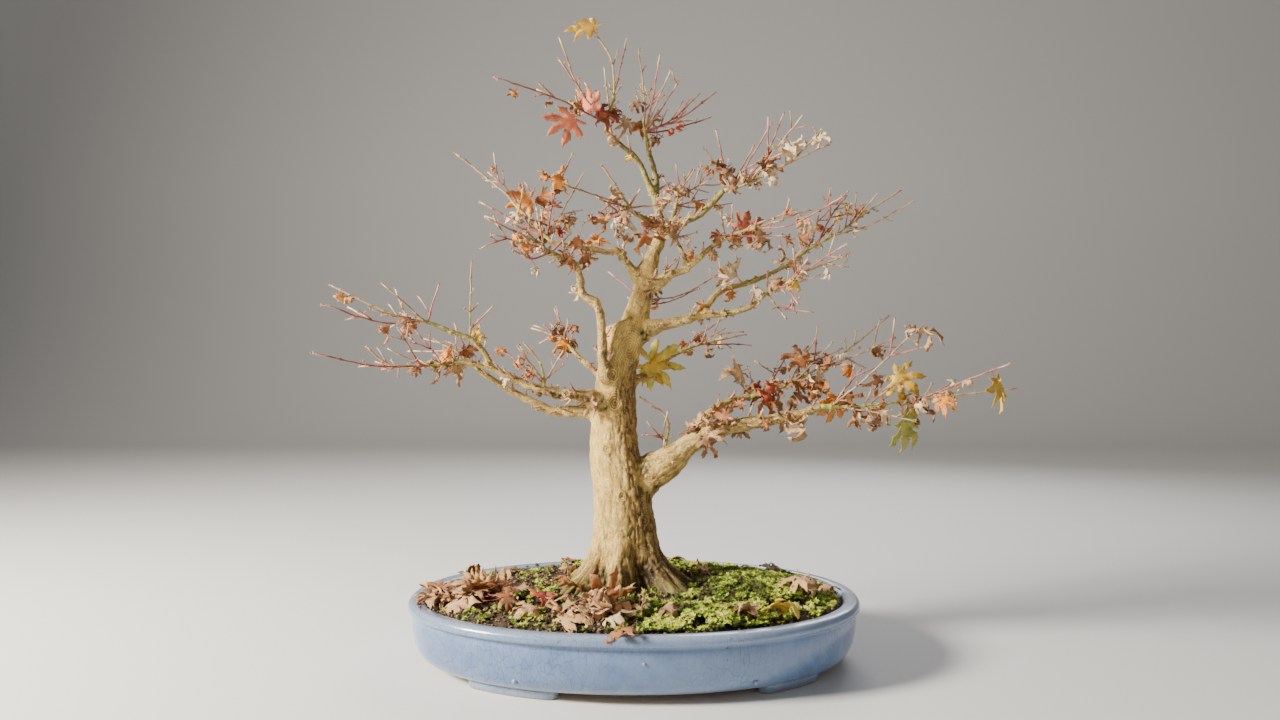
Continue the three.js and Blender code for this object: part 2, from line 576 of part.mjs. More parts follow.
// A line is free where it stays clear of all other nodes, and where its outer part, past the
// twig that it leaves, stays clear of its own node as well, with a share of its radius.
function isFree(owner, line, ignored, ownShare = 1) {
  for (let k = 0; k + 1 < line.length; k++) {
    const a = line[k].at;
    const b = line[k + 1].at;
    const outer = k === 0 ? a.clone().lerp(b, 0.4) : a;
    const radius = (line[k].radius + line[k + 1].radius) / 2;
    for (const bar of taken) {
      if (bar.owner === ignored) continue;
      const own = bar.owner === owner;
      const room = bar.radius + (own ? ownShare * radius + CLEAR_OF_OWN : radius + CLEAR_OF_OTHERS);
      if (barDistance(own ? outer : a, b, bar.a, bar.b) < room) return false;
    }
  }
  return true;
}

function takeLine(owner, line) {
  for (let k = 0; k + 1 < line.length; k++) {
    take(owner, line[k].at, line[k + 1].at, (line[k].radius + line[k + 1].radius) / 2);
  }
}

// The point at a share of a line's length.
function alongLine(line, share) {
  const lengths = [0];
  for (let k = 1; k < line.length; k++) lengths.push(lengths.at(-1) + line[k].at.distanceTo(line[k - 1].at));
  const wanted = share * lengths.at(-1);
  let k = 1;
  while (k < line.length - 1 && lengths[k] < wanted) k++;
  const part = (wanted - lengths[k - 1]) / (lengths[k] - lengths[k - 1]);
  return {
    at: line[k - 1].at.clone().lerp(line[k].at, part),
    radius: line[k - 1].radius + (line[k].radius - line[k - 1].radius) * part,
    along: line[k].at.clone().sub(line[k - 1].at).normalize(),
    length: lengths.at(-1),
  };
}

// A long shoot bows a little, so it has a point between its root and its tip.
function bowedLine(root, tip, rootRadius, random) {
  const length = root.distanceTo(tip);
  const bow = new THREE.Vector3(random() - 0.5, random() - 0.5, random() - 0.7);
  bow.multiplyScalar(SHOOT_BOW * length);
  const line = [{ at: root, radius: rootRadius }, { at: tip, radius: TIP_RADIUS }];
  if (length > BOWED_FROM_MM) {
    line.splice(1, 0, { at: root.clone().lerp(tip, 0.45).add(bow), radius: (rootRadius + TIP_RADIUS) / 2 });
  }
  return line;
}

// Side twigs leave a shoot in opposite pairs, and each pair is turned a quarter from the last.
function sidePair(parent, share, turn, random) {
  const { at, radius, along } = alongLine(parent, share);
  const flat = Math.abs(along.z) < 0.9 ? new THREE.Vector3(0, 0, 1) : new THREE.Vector3(1, 0, 0);
  const side = along.clone().cross(flat).normalize().applyAxisAngle(along, turn);
  return [1, -1].map((hand) => {
    const spread = THREE.MathUtils.degToRad(SIDE_SPREAD_DEG + 16 * (random() - 0.5));
    const way = along.clone().multiplyScalar(Math.cos(spread));
    way.addScaledVector(side, hand * Math.sin(spread));
    way.z += UPWARD * random();
    way.normalize();
    const length = THREE.MathUtils.lerp(SIDE_TWIG_MM[0], SIDE_TWIG_MM[1], random() ** 1.6);
    const tip = at.clone().addScaledVector(way, length);
    return [{ at, radius: Math.min(SIDE_ROOT_RADIUS, radius) }, { at: tip, radius: TIP_RADIUS }];
  });
}

function leafSolid(root, at, way, size, curl, roll) {
  const forward = way.clone().normalize();
  const flat = Math.abs(forward.z) < 0.95 ? new THREE.Vector3(0, 0, 1) : new THREE.Vector3(1, 0, 0);
  const side = flat.clone().cross(forward).normalize().applyAxisAngle(forward, roll);
  const face = forward.clone().cross(side);
  const [baseDegrees, baseLength, baseDroop] = LEAF_BASE;
  const outline = [[-baseDegrees, baseLength, baseDroop]];
  for (const [degrees, length] of LOBES) outline.push([degrees, length, length > NOTCH ? 1 : NOTCH]);
  outline.push([baseDegrees, baseLength, baseDroop]);
  const points = outline.map(([degrees, length, droop]) => {
    const angle = THREE.MathUtils.degToRad(degrees);
    return at.clone()
      .addScaledVector(forward, size * length * Math.cos(angle))
      .addScaledVector(side, size * length * Math.sin(angle))
      .addScaledVector(face, -size * curl * droop * length);
  });
  const last = points.length - 1;
  const [top, under, high, right, left] = [1, 2, 3, 4, 5].map((k) => last + k);
  points.push(at.clone().addScaledVector(face, LEAF_THICKNESS / 2));
  points.push(at.clone().addScaledVector(face, -LEAF_THICKNESS / 2));
  points.push(root.clone().addScaledVector(face, STALK_RADIUS));
  for (const hand of [-1, 1]) {
    const corner = root.clone().addScaledVector(side, hand * STALK_RADIUS);
    points.push(corner.addScaledVector(face, -STALK_RADIUS / 2));
  }
  const faces = [0, top, high, top, last, high, 0, high, right, high, last, left];
  faces.push(under, 0, right, last, under, left, under, right, left, high, left, right);
  for (let i = 0; i < last; i++) faces.push(top, i, i + 1, under, i + 1, i);
  const geometry = new THREE.BufferGeometry().setFromPoints(points);
  geometry.setIndex(faces);
  return solidOf(geometry);
}

// A leaf on its stalk, from the point on a twig that it hangs from. Nothing where it has no room.
function hangLeaf(owner, from, way, stalk, size, random) {
  const at = from.clone().addScaledVector(way.clone().normalize(), stalk);
  const droop = way.clone().normalize();
  droop.z -= 0.5 + 0.6 * random();
  droop.normalize();
  const curl = 0.15 + 0.4 * random();
  const roll = (random() - 0.5) * 1.6;
  const line = [
    { at: from, radius: STALK_RADIUS },
    { at, radius: size * LEAF_ROOM },
    { at: at.clone().addScaledVector(droop, size), radius: size * LEAF_ROOM },
  ];
  if (!isFree(owner, line, undefined, LEAF_OWN_SHARE)) return [];
  takeLine(owner, line);
  return [leafSolid(from, at, droop, size, curl, roll)];
}

// The stem of a mass starts inside its limb, which is cut away from it at the end.
function stemLine(mass, random) {
  const start = alongLine(lines[mass.on], mass.at ?? 1);
  const fromTip = mass.at === undefined;
  const rootRadius = fromTip ? start.radius * 0.97 : Math.min(start.radius / 2, SPUR_RADIUS);
  const [near, far] = mass.depth;
  const middleDepth = near + (far - near) * (0.3 + 0.4 * random());
  const tipDepth = THREE.MathUtils.lerp(start.at.y, middleDepth, 0.7);
  const within = start.at.clone().addScaledVector(start.along, fromTip ? -STEM_SUNK : 0);
  const stem = [{ at: within, radius: rootRadius }];
  mass.stem.forEach(([right, up], k) => {
    const share = (k + 1) / mass.stem.length;
    const depth = THREE.MathUtils.lerp(start.at.y, tipDepth, share);
    const radius = THREE.MathUtils.lerp(Math.min(rootRadius, STEM_RADIUS), TIP_RADIUS * 1.1, share ** 0.7);
    stem.push({ at: seen(right, up, depth), radius });
  });
  return stem;
}

// Each long shoot is tried at a few depths, until it finds one that is free.
function growShoots(mass, stem, put, random) {
  const shoots = [stem];
  const [near, far] = mass.depth;
  mass.shoots.forEach(([right, up, share], k) => {
    const root = alongLine(stem, Math.max(share, FIRST_SHOOT_MM / alongLine(stem, 0).length));
    for (let attempt = 0; attempt < SHOOT_ATTEMPTS; attempt++) {
      const spread = ((k + 0.5 * random() + GOLDEN * attempt) / mass.shoots.length) % 1;
      const tip = seen(right, up, near + (far - near) * spread);
      const line = bowedLine(root.at, tip, Math.min(SHOOT_ROOT_RADIUS, root.radius), random);
      if (!put(line, 3)) continue;
      shoots.push(line);
      break;
    }
  });
  return shoots;
}

function growPairs(mass, shoots, put, random) {
  let turn = random() * Math.PI;
  for (let k = 0; k < mass.pairs; k++) {
    const parent = shoots[Math.floor(random() * shoots.length)];
    const pair = sidePair(parent, 0.2 + 0.65 * random(), turn, random);
    turn += Math.PI / 2;
    for (const line of pair) put(line, 3);
  }
}

// The point of the shoots that is nearest to a place on the upright plane.
function nearestRoot(shoots, right, up) {
  let best = null;
  for (const line of shoots) {
    for (let share = 0.12; share < 1; share += 0.04) {
      const root = alongLine(line, share);
      const way = seen(right, up, root.at.y).sub(root.at);
      if (!best || way.length() < best.way.length()) best = { root, way };
    }
  }
  return best;
}

function hangLeaves(name, mass, shoots, random) {
  const leaves = [];
  for (const [right, up, length] of mass.hung) {
    const { root, way } = nearestRoot(shoots, right, up);
    const stalk = THREE.MathUtils.clamp(way.length(), ...PLACED_STALK_MM);
    leaves.push(...hangLeaf(name, root.at, way, stalk, length * BLADE_SHARE, random));
  }
  for (let k = 0; k < mass.leaves; k++) {
    const parent = shoots[Math.floor(random() * shoots.length)];
    const root = alongLine(parent, 0.08 + 0.5 * random() ** 1.5);
    const way = new THREE.Vector3(random() - 0.5, random() - 0.5, 0.5 * random() - 0.45);
    const stalk = THREE.MathUtils.lerp(...STALK_MM, random());
    leaves.push(...hangLeaf(name, root.at, way, stalk, THREE.MathUtils.lerp(...BLADE_MM, random()), random));
  }
  return leaves;
}

function massSolid(name, mass) {
  const random = randomFrom(mass.seed);
  const solids = [];
  const put = (line, sides, ignored) => {
    if (!isFree(name, line, ignored)) return false;
    takeLine(name, line);
    solids.push(solidOf(loft(ringsAlong(line, sides))));
    return true;
  };
  const stem = stemLine(mass, random);
  put(stem, 4, mass.on);
  const shoots = growShoots(mass, stem, put, random);
  growPairs(mass, shoots, put, random);
  return joined([...solids, ...hangLeaves(name, mass, shoots, random)]);
}

function driftSolid({ heap, leaves }, seed) {
  const random = randomFrom(seed);
  const [x, y, halfLength, halfDepth, height] = heap;
  const solids = [cushionSolid(heap, DRIFT_SIDES, seed)];
  for (let k = 0; k < leaves; k++) {
    const heading = (2 * Math.PI * (k + 0.4 * random())) / leaves;
    const out = 0.35 + 0.3 * random();
    const root = new THREE.Vector3(
      x + halfLength * out * Math.cos(heading),
      y + halfDepth * out * Math.sin(heading),
      SOIL_EDGE_HEIGHT + groundLift(x, y) + height * 0.5,
    );
    const way = new THREE.Vector3(Math.cos(heading), Math.sin(heading), 0.25 * random());
    const at = root.clone().addScaledVector(way, 5);
    at.z += height * 0.35;
    solids.push(leafSolid(root, at, way, 15 + 6 * random(), 0.1 + 0.15 * random(), 0.8 * (random() - 0.5)));
  }
  return joined(solids);
}

// The pot and what lies in it.
const soil = soilSolid();
addNode("pot", potSolid(), GLAZE);
addNode("soil", soil, SOIL);
const trunk = trunkSolid();
const roomForTrunk = trunkSolid(CUT_GAP);
const insideRim = ovalPrism(SOIL_INSET, FOOT_HEIGHT, 3 * POT_HEIGHT);
const rim = ovalPrism(-GAP, POT_HEIGHT / 2, POT_HEIGHT + GAP).subtract(insideRim);
const ground = soil.translate(0, 0, GAP).add(roomForTrunk).add(rim);
Object.entries(MOSS_CUSHIONS).forEach(([name, sizes], k) => {
  addNode(name, largestPiece(cushionSolid(sizes, MOSS_SIDES, MOSS_SEED + k).subtract(ground)), MOSS);
});
Object.entries(DRIFTS).forEach(([name, drift], k) => {
  addNode(name, largestPiece(driftSolid(drift, DRIFT_SEED + k).subtract(ground)), DRY_LEAF);
});

// The trunk and the limbs, each cut clear of the one that it grows from and of those that were
// grown from that one before it.
function clearOfNeighbours(solid, name, on) {
  const isNear = (other) => other !== name && (other === on || LIMBS[other]?.on === on);
  const near = Object.keys(rooms).filter(isNear);
  return largestPiece(near.reduce((rest, other) => rest.subtract(rooms[other]), solid));
}

addNode("trunk", trunk, OLD_BARK);
const lines = {};
const rooms = { trunk: roomForTrunk };
TRUNK_LEVELS.slice(1).forEach(([up, right, radius, depth], k) => {
  const [below, before, , deep] = TRUNK_LEVELS[k];
  take("trunk", new THREE.Vector3(before, deep, below), new THREE.Vector3(right, depth, up), radius);
});
takeLine("trunk", limbLine({ path: TRUNK_LEADER, radii: TRUNK_LEADER_RADII }, 5));
for (const [name, limb] of Object.entries(LIMBS)) {
  lines[name] = limbLine(limb, 4 * (limb.path.length - 1));
  rooms[name] = limbSolid(limb, CUT_GAP);
  takeLine(name, lines[name]);
  const bark = limb.radii[0] > 4 ? OLD_BARK : YOUNG_BARK;
  addNode(name, clearOfNeighbours(limbSolid(limb), name, limb.on), bark);
}
for (const [name, mass] of Object.entries(MASSES)) {
  addNode(name, clearOfNeighbours(massSolid(name, mass), name, mass.on), TWIGS);
}

// The origin goes to the middle of the plant's outline, on the surface that it stands on.
const outline = new THREE.Box3().setFromObject(bonsai);
const middle = outline.getCenter(new THREE.Vector3());
bonsai.position.set(-middle.x, -middle.y, -outline.min.z);

export default bonsai;
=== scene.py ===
# %% [markdown]
# # A Japanese maple bonsai, nearly bare
#
# This lesson dresses a small maple in a shallow oval pot, as it stands in late autumn. The real
# tree has a thick pale trunk with fine upright furrows, boughs that turn olive where the wood is
# young, thin red shoots with a bud at every knot, and withered leaves. The pot is glazed stoneware
# with a net of fine cracks, and moss and fallen leaves lie on its soil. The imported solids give
# every size and place, so they are loaded first and never moved.

# %% Load the solids
import json
import math

import bpy
import numpy as np
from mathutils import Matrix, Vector, noise

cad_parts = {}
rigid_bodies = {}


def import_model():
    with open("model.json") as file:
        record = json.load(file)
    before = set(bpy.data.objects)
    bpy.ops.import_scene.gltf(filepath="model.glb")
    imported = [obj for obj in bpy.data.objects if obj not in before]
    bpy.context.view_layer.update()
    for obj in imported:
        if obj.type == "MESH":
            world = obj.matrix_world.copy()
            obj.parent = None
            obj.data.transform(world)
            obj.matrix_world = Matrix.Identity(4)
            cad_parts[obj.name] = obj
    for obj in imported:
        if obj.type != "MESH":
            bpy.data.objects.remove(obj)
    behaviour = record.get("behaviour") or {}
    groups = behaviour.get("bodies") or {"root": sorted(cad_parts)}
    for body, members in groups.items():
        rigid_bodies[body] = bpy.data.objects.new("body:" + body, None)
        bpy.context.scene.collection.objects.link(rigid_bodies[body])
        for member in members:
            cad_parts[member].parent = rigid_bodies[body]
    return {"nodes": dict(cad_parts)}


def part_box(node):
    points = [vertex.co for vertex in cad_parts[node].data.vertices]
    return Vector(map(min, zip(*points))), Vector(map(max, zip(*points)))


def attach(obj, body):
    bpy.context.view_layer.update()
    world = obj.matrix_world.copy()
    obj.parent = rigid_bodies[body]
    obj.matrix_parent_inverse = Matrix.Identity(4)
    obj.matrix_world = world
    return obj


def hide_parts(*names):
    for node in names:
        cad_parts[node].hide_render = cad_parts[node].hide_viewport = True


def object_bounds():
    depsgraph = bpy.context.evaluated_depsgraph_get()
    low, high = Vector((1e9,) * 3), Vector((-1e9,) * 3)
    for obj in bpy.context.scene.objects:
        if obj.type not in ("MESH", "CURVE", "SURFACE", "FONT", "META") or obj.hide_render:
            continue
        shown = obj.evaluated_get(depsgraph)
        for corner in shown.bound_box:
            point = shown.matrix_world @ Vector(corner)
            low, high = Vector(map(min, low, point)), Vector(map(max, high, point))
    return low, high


for leftover in list(bpy.data.objects):
    bpy.data.objects.remove(leftover)
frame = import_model()
cad_box = [list(corner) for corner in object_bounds()]
print(len(frame["nodes"]), "solids reach from", cad_box[0], "to", cad_box[1])

# %% [markdown]
# ## From the drawing to the frame
#
# The tree was drawn in millimetres on an upright plane through the middle of the pot, as it looks
# from one place in front. A point of the drawing is moved along the line from that eye to its own
# depth. One function does this for the whole lesson, so that trunk, twigs and leaves agree with
# each other and with the solids.

# %% The place of the drawing
MM = 0.001
POT_MIDDLE = 2.5
POT_HALF_LENGTH = 213
POT_HALF_DEPTH = 155
SHIFT = np.array(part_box("pot")[0]) / MM - [POT_MIDDLE - POT_HALF_LENGTH, -POT_HALF_DEPTH, 0]
EYE = np.array([8.0, -890.0, 272.0])


def seen(right, up, depth):
    """The point at a depth that shows at this place of the upright drawing."""
    reach = (depth - EYE[1]) / -EYE[1]
    return np.array([EYE[0] + (right - EYE[0]) * reach, depth, EYE[2] + (up - EYE[2]) * reach])


def to_frame(points):
    """Millimetres of the drawing as metres of the frame."""
    return (np.asarray(points, float) + SHIFT) * MM


def to_drawing(points):
    """Metres of the frame as millimetres of the drawing."""
    return np.asarray(points, float) / MM - SHIFT


print("The drawing's own middle lies at", np.round(SHIFT, 1), "mm")

# %% [markdown]
# ## The camera and the light
#
# The camera stands where the drawing was seen from. Its lens takes in 36 mm of width at 26 mm, and
# a very small shift puts the level line a little under the middle. A large warm lamp from the
# front left gives the trunk its bright and its shaded side, and two weak lamps keep the shade open.

# %% Camera and lamps
LENS_MM = 26.07
LEVEL_SHIFT = 0.0077
# Place, colour, watts and size of each lamp.
LAMPS = {
    "key_lamp": ((-1.6, -0.6, 0.95), (1.0, 0.94, 0.84), 128, 0.42),
    "fill_lamp": ((1.1, -1.5, 0.8), (0.86, 0.92, 1.0), 3.5, 1.0),
    "back_lamp": ((0.5, 1.3, 1.1), (0.95, 0.95, 1.0), 14, 0.9),
}
LAMP_TARGET = Vector((0, 0, 0.22))


def linked(name, data):
    """An object of the scene that shows this data."""
    made = bpy.data.objects.new(name, data)
    bpy.context.scene.collection.objects.link(made)
    return made


lens = bpy.data.cameras.new("camera")
lens.lens = LENS_MM
lens.sensor_width = 36
lens.shift_y = LEVEL_SHIFT
camera = linked("camera", lens)
camera.location = to_frame(EYE)
camera.rotation_euler = (math.radians(90), 0, 0)
bpy.context.scene.camera = camera
for name, (place, color, watts, size) in LAMPS.items():
    light = bpy.data.lights.new(name, "AREA")
    light.energy = watts
    light.color = color
    light.size = size
    lamp = linked(name, light)
    lamp.location = place
    lamp.rotation_euler = (LAMP_TARGET - Vector(place)).to_track_quat("-Z", "Y").to_euler()
world = bpy.data.worlds.new("studio")
world.use_nodes = True
sky = world.node_tree.nodes["Background"].inputs
sky["Color"].default_value = (0.62, 0.62, 0.63, 1)
sky["Strength"].default_value = 0.25
bpy.context.scene.world = world
print("Camera at", [round(v, 3) for v in camera.location], "with", len(LAMPS), "lamps")

# %% [markdown]
# The floor is a sweep: one pale sheet that turns up into a wall far behind, so that no edge shows.
# A big plane would do from the front, but not from the other sides. It isn't part of the plant.

# %% A pale sweep
FLOOR_HALF = 4.0
SWEEP_START = 2.4
SWEEP_RADIUS = 1.2


def plain_mesh(name, points, faces, smooth=True):
    """A mesh from points in metres."""
    mesh = bpy.data.meshes.new(name)
    mesh.from_pydata(np.asarray(points).tolist(), [], faces)
    mesh.polygons.foreach_set("use_smooth", [smooth] * len(mesh.polygons))
    mesh.update()
    return mesh


def new_material(name, roughness, specular=0.5):
    """A material, its node tree and its principled shader."""
    made = bpy.data.materials.new(name)
    made.use_nodes = True
    shader = made.node_tree.nodes["Principled BSDF"]
    shader.inputs["Roughness"].default_value = roughness
    shader.inputs["Specular IOR Level"].default_value = specular
    return made, made.node_tree, shader


turns = np.linspace(0, math.pi / 2, 12)
rows = [(-FLOOR_HALF, 0.0)]
rows += [(SWEEP_START + SWEEP_RADIUS * math.sin(turn), SWEEP_RADIUS * (1 - math.cos(turn)))
         for turn in turns]
rows.append((SWEEP_START + SWEEP_RADIUS, FLOOR_HALF))
points = [(x, y, z) for y, z in rows for x in (-FLOOR_HALF, FLOOR_HALF)]
faces = [(k, k + 1, k + 3, k + 2) for k in range(0, 2 * len(rows) - 2, 2)]
floor = linked("floor", plain_mesh("floor", points, faces))
floor_paint, _, shader = new_material("floor_paint", 0.8)
shader.inputs["Base Color"].default_value = (0.72, 0.71, 0.69, 1)
floor.data.materials.append(floor_paint)
print("The floor is", 2 * FLOOR_HALF, "m wide")

# %% [markdown]
# ## Heaps of small shapes
#
# Twigs, leaves and moss are thousands of small shapes. Joining that many objects is slow, so each
# kind is gathered in a heap of points and faces, and a heap becomes one mesh at the end. Numbers
# that are stored at its points, such as how young the wood is, steer its finish.

# %% Heaps and pieces


class Heap:
    """Points and faces of many small shapes that become one mesh."""

    def __init__(self):
        self.points, self.faces, self.shades, self.count = [], [], [], 0

    def add(self, points, faces, shades=0.0):
        """A shape and how far each of its points is from its first colour to its second."""
        self.points.append(np.asarray(points, float))
        self.faces.extend([tuple(i + self.count for i in face) for face in faces])
        self.shades.append(np.broadcast_to(np.asarray(shades, float), len(points)))
        self.count += len(points)

    def joined(self):
        return np.concatenate(self.points), self.faces


def store(mesh, **named):
    """Stores numbers or vectors at the points of a mesh."""
    for name, values in named.items():
        values = np.asarray(values, np.float32)
        kind, field = ("FLOAT", "value") if values.ndim == 1 else ("FLOAT_VECTOR", "vector")
        mesh.attributes.new(name, kind, "POINT").data.foreach_set(field, values.ravel())


def mesh_of(name, points, faces, smooth=True, **stored):
    """A mesh in the frame from millimetres of the drawing, with what it stores."""
    mesh = plain_mesh(name, to_frame(points), faces, smooth)
    store(mesh, **stored)
    return mesh


def piece_of(mesh, material, replaced=()):
    """A piece that rides with the plant, takes a finish slot and stands for some solids."""
    mesh.materials.append(material)
    piece = linked(mesh.name, mesh)
    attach(piece, "root")
    if replaced:
        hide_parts(*replaced)
    print(mesh.name, sum(len(face.vertices) - 2 for face in mesh.polygons), "triangles")


def piece_of_heap(name, heap, material, replaced=()):
    piece_of(mesh_of(name, *heap.joined(), shade=np.concatenate(heap.shades)), material, replaced)


print("Ready to gather shapes")

# %% [markdown]
# Nothing that grows is straight or even. Two kinds of chance make it so: smooth noise, which is
# the same for points that lie close together, and a stream of numbers from a seed, which gives the
# same plant on each run.

# %% Chance that repeats
def unit(ways):
    """Vectors of length one."""
    return ways / np.maximum(np.linalg.norm(ways, axis=-1, keepdims=True), 1e-9)


def lumps(points, size, seed=0.0):
    """Smooth noise from -1 to 1 at each point, with waves of about this size."""
    return np.array([noise.noise(p) for p in (np.asarray(points) / size + seed).tolist()])


def wander(points, size, *seeds):
    """A smooth push for each point, with one number a seed."""
    return np.column_stack([lumps(points, size, seed) for seed in seeds])


def stream(seed):
    """Repeatable numbers from 0 to 1."""
    state = [seed]

    def draw():
        state[0] = (state[0] * 1664525 + 1013904223) % 4294967296
        return state[0] / 4294967296

    return draw


print("The first number of stream 1 is", round(stream(1)(), 4))

# %% [markdown]
# ## Tubes along a line
#
# Every limb, twig and stalk is a round bar along a bent line. A curve object with a bevel would
# draw one too, but here each point must be known for its knots. The rings are square to the line
# and turn as little as they can from one to the next, so that the bark doesn't twist.

# %% Lines
def curve_point(points, t):
    """A smooth curve that passes through the points, read at parameters from 0 to 1."""
    points = np.asarray(points, float)
    last = len(points) - 1
    padded = np.vstack([2 * points[0] - points[1], points, 2 * points[-1] - points[-2]])
    place = np.clip(t, 0, 1) * last
    span = np.minimum(place.astype(int), last - 1)
    w = (place - span)[:, None]
    p0, p1, p2, p3 = (padded[span + k] for k in range(4))
    d0, d1, d2 = (np.sqrt(np.linalg.norm(b - a, axis=1))[:, None] for a, b in ((p0, p1), (p1, p2), (p2, p3)))
    leave = d1 * ((p1 - p0) / d0 - (p2 - p0) / (d0 + d1) + (p2 - p1) / d1)
    arrive = d1 * ((p2 - p1) / d1 - (p3 - p1) / (d1 + d2) + (p3 - p2) / d2)
    square = 3 * (p2 - p1) - 2 * leave - arrive
    cube = 2 * (p1 - p2) + leave + arrive
    return p1 + w * leave + w**2 * square + w**3 * cube


def reaches(points):
    """How far along a line each of its points is."""
    return np.append(0, np.cumsum(np.linalg.norm(np.diff(points, axis=0), axis=1)))


def along_curve(points, shares):
    """The same curve read at shares of its length."""
    steps = np.linspace(0, 1, 201)
    lengths = reaches(curve_point(points, steps))
    return curve_point(points, np.interp(np.asarray(shares) * lengths[-1], lengths, steps))


print("Three corners of a square lie", round(reaches([(1, 0), (0, 1), (-1, 0)])[-1], 2), "apart")

# %% [markdown]
# A tube's faces join each ring to the next, and one face closes each end. The same list of faces
# serves the trunk, the wall of the pot and the soil, because they too are rings upon rings.

# %% Rings and tubes
def frames_along(points):
    """Direction, side and other side at each point of a line."""
    along = unit(np.vstack([points[1:], points[-1:]]) - np.vstack([points[:1], points[:-1]]))
    side = np.array([0.0, 1.0, 0.0]) if abs(along[0][1]) < 0.9 else np.array([0.0, 0.0, 1.0])
    sides = []
    for way in along:
        side = unit(side - way * (side @ way))
        sides.append(side)
    return along, np.array(sides), np.cross(along, sides)


def ring_faces(rings, sides):
    """Faces between rings that follow one another, and one on each end."""
    faces = []
    for a in range((rings - 1) * sides):
        b = a + 1 if (a + 1) % sides else a + 1 - sides
        faces.append((a, b, b + sides, a + sides))
    return faces + [tuple(range(sides - 1, -1, -1)), tuple(range((rings - 1) * sides, rings * sides))]


def tube(points, radii, sides):
    """Points and faces of a round bar along a line, with a radius for each point."""
    points = np.asarray(points, float)
    _, side, other = frames_along(points)
    angles = 2 * np.pi * np.arange(sides) / sides
    out = side[:, None] * np.cos(angles)[:, None] + other[:, None] * np.sin(angles)[:, None]
    rings = points[:, None] + out * np.asarray(radii, float)[:, None, None]
    return rings.reshape(-1, 3), ring_faces(len(points), sides)


print("A straight test tube has", len(tube([(0, 0, 0), (0, 0, 9)], [1, 1], 6)[1]), "faces")

# %% [markdown]
# ## The limbs and the masses of twigs
#
# These tables say what grows from what. A limb has its parent, its radius at root and tip, how
# green it is at both, and a line of points as right, up and depth. A mass is the twigs past a
# limb's tip: the line of its stem, the tips of its long shoots with the share of the stem where
# each leaves it, and the places and lengths of some leaves. Placing them all by hand in the view
# would take days, and wouldn't match the solids, which were made from these same values.

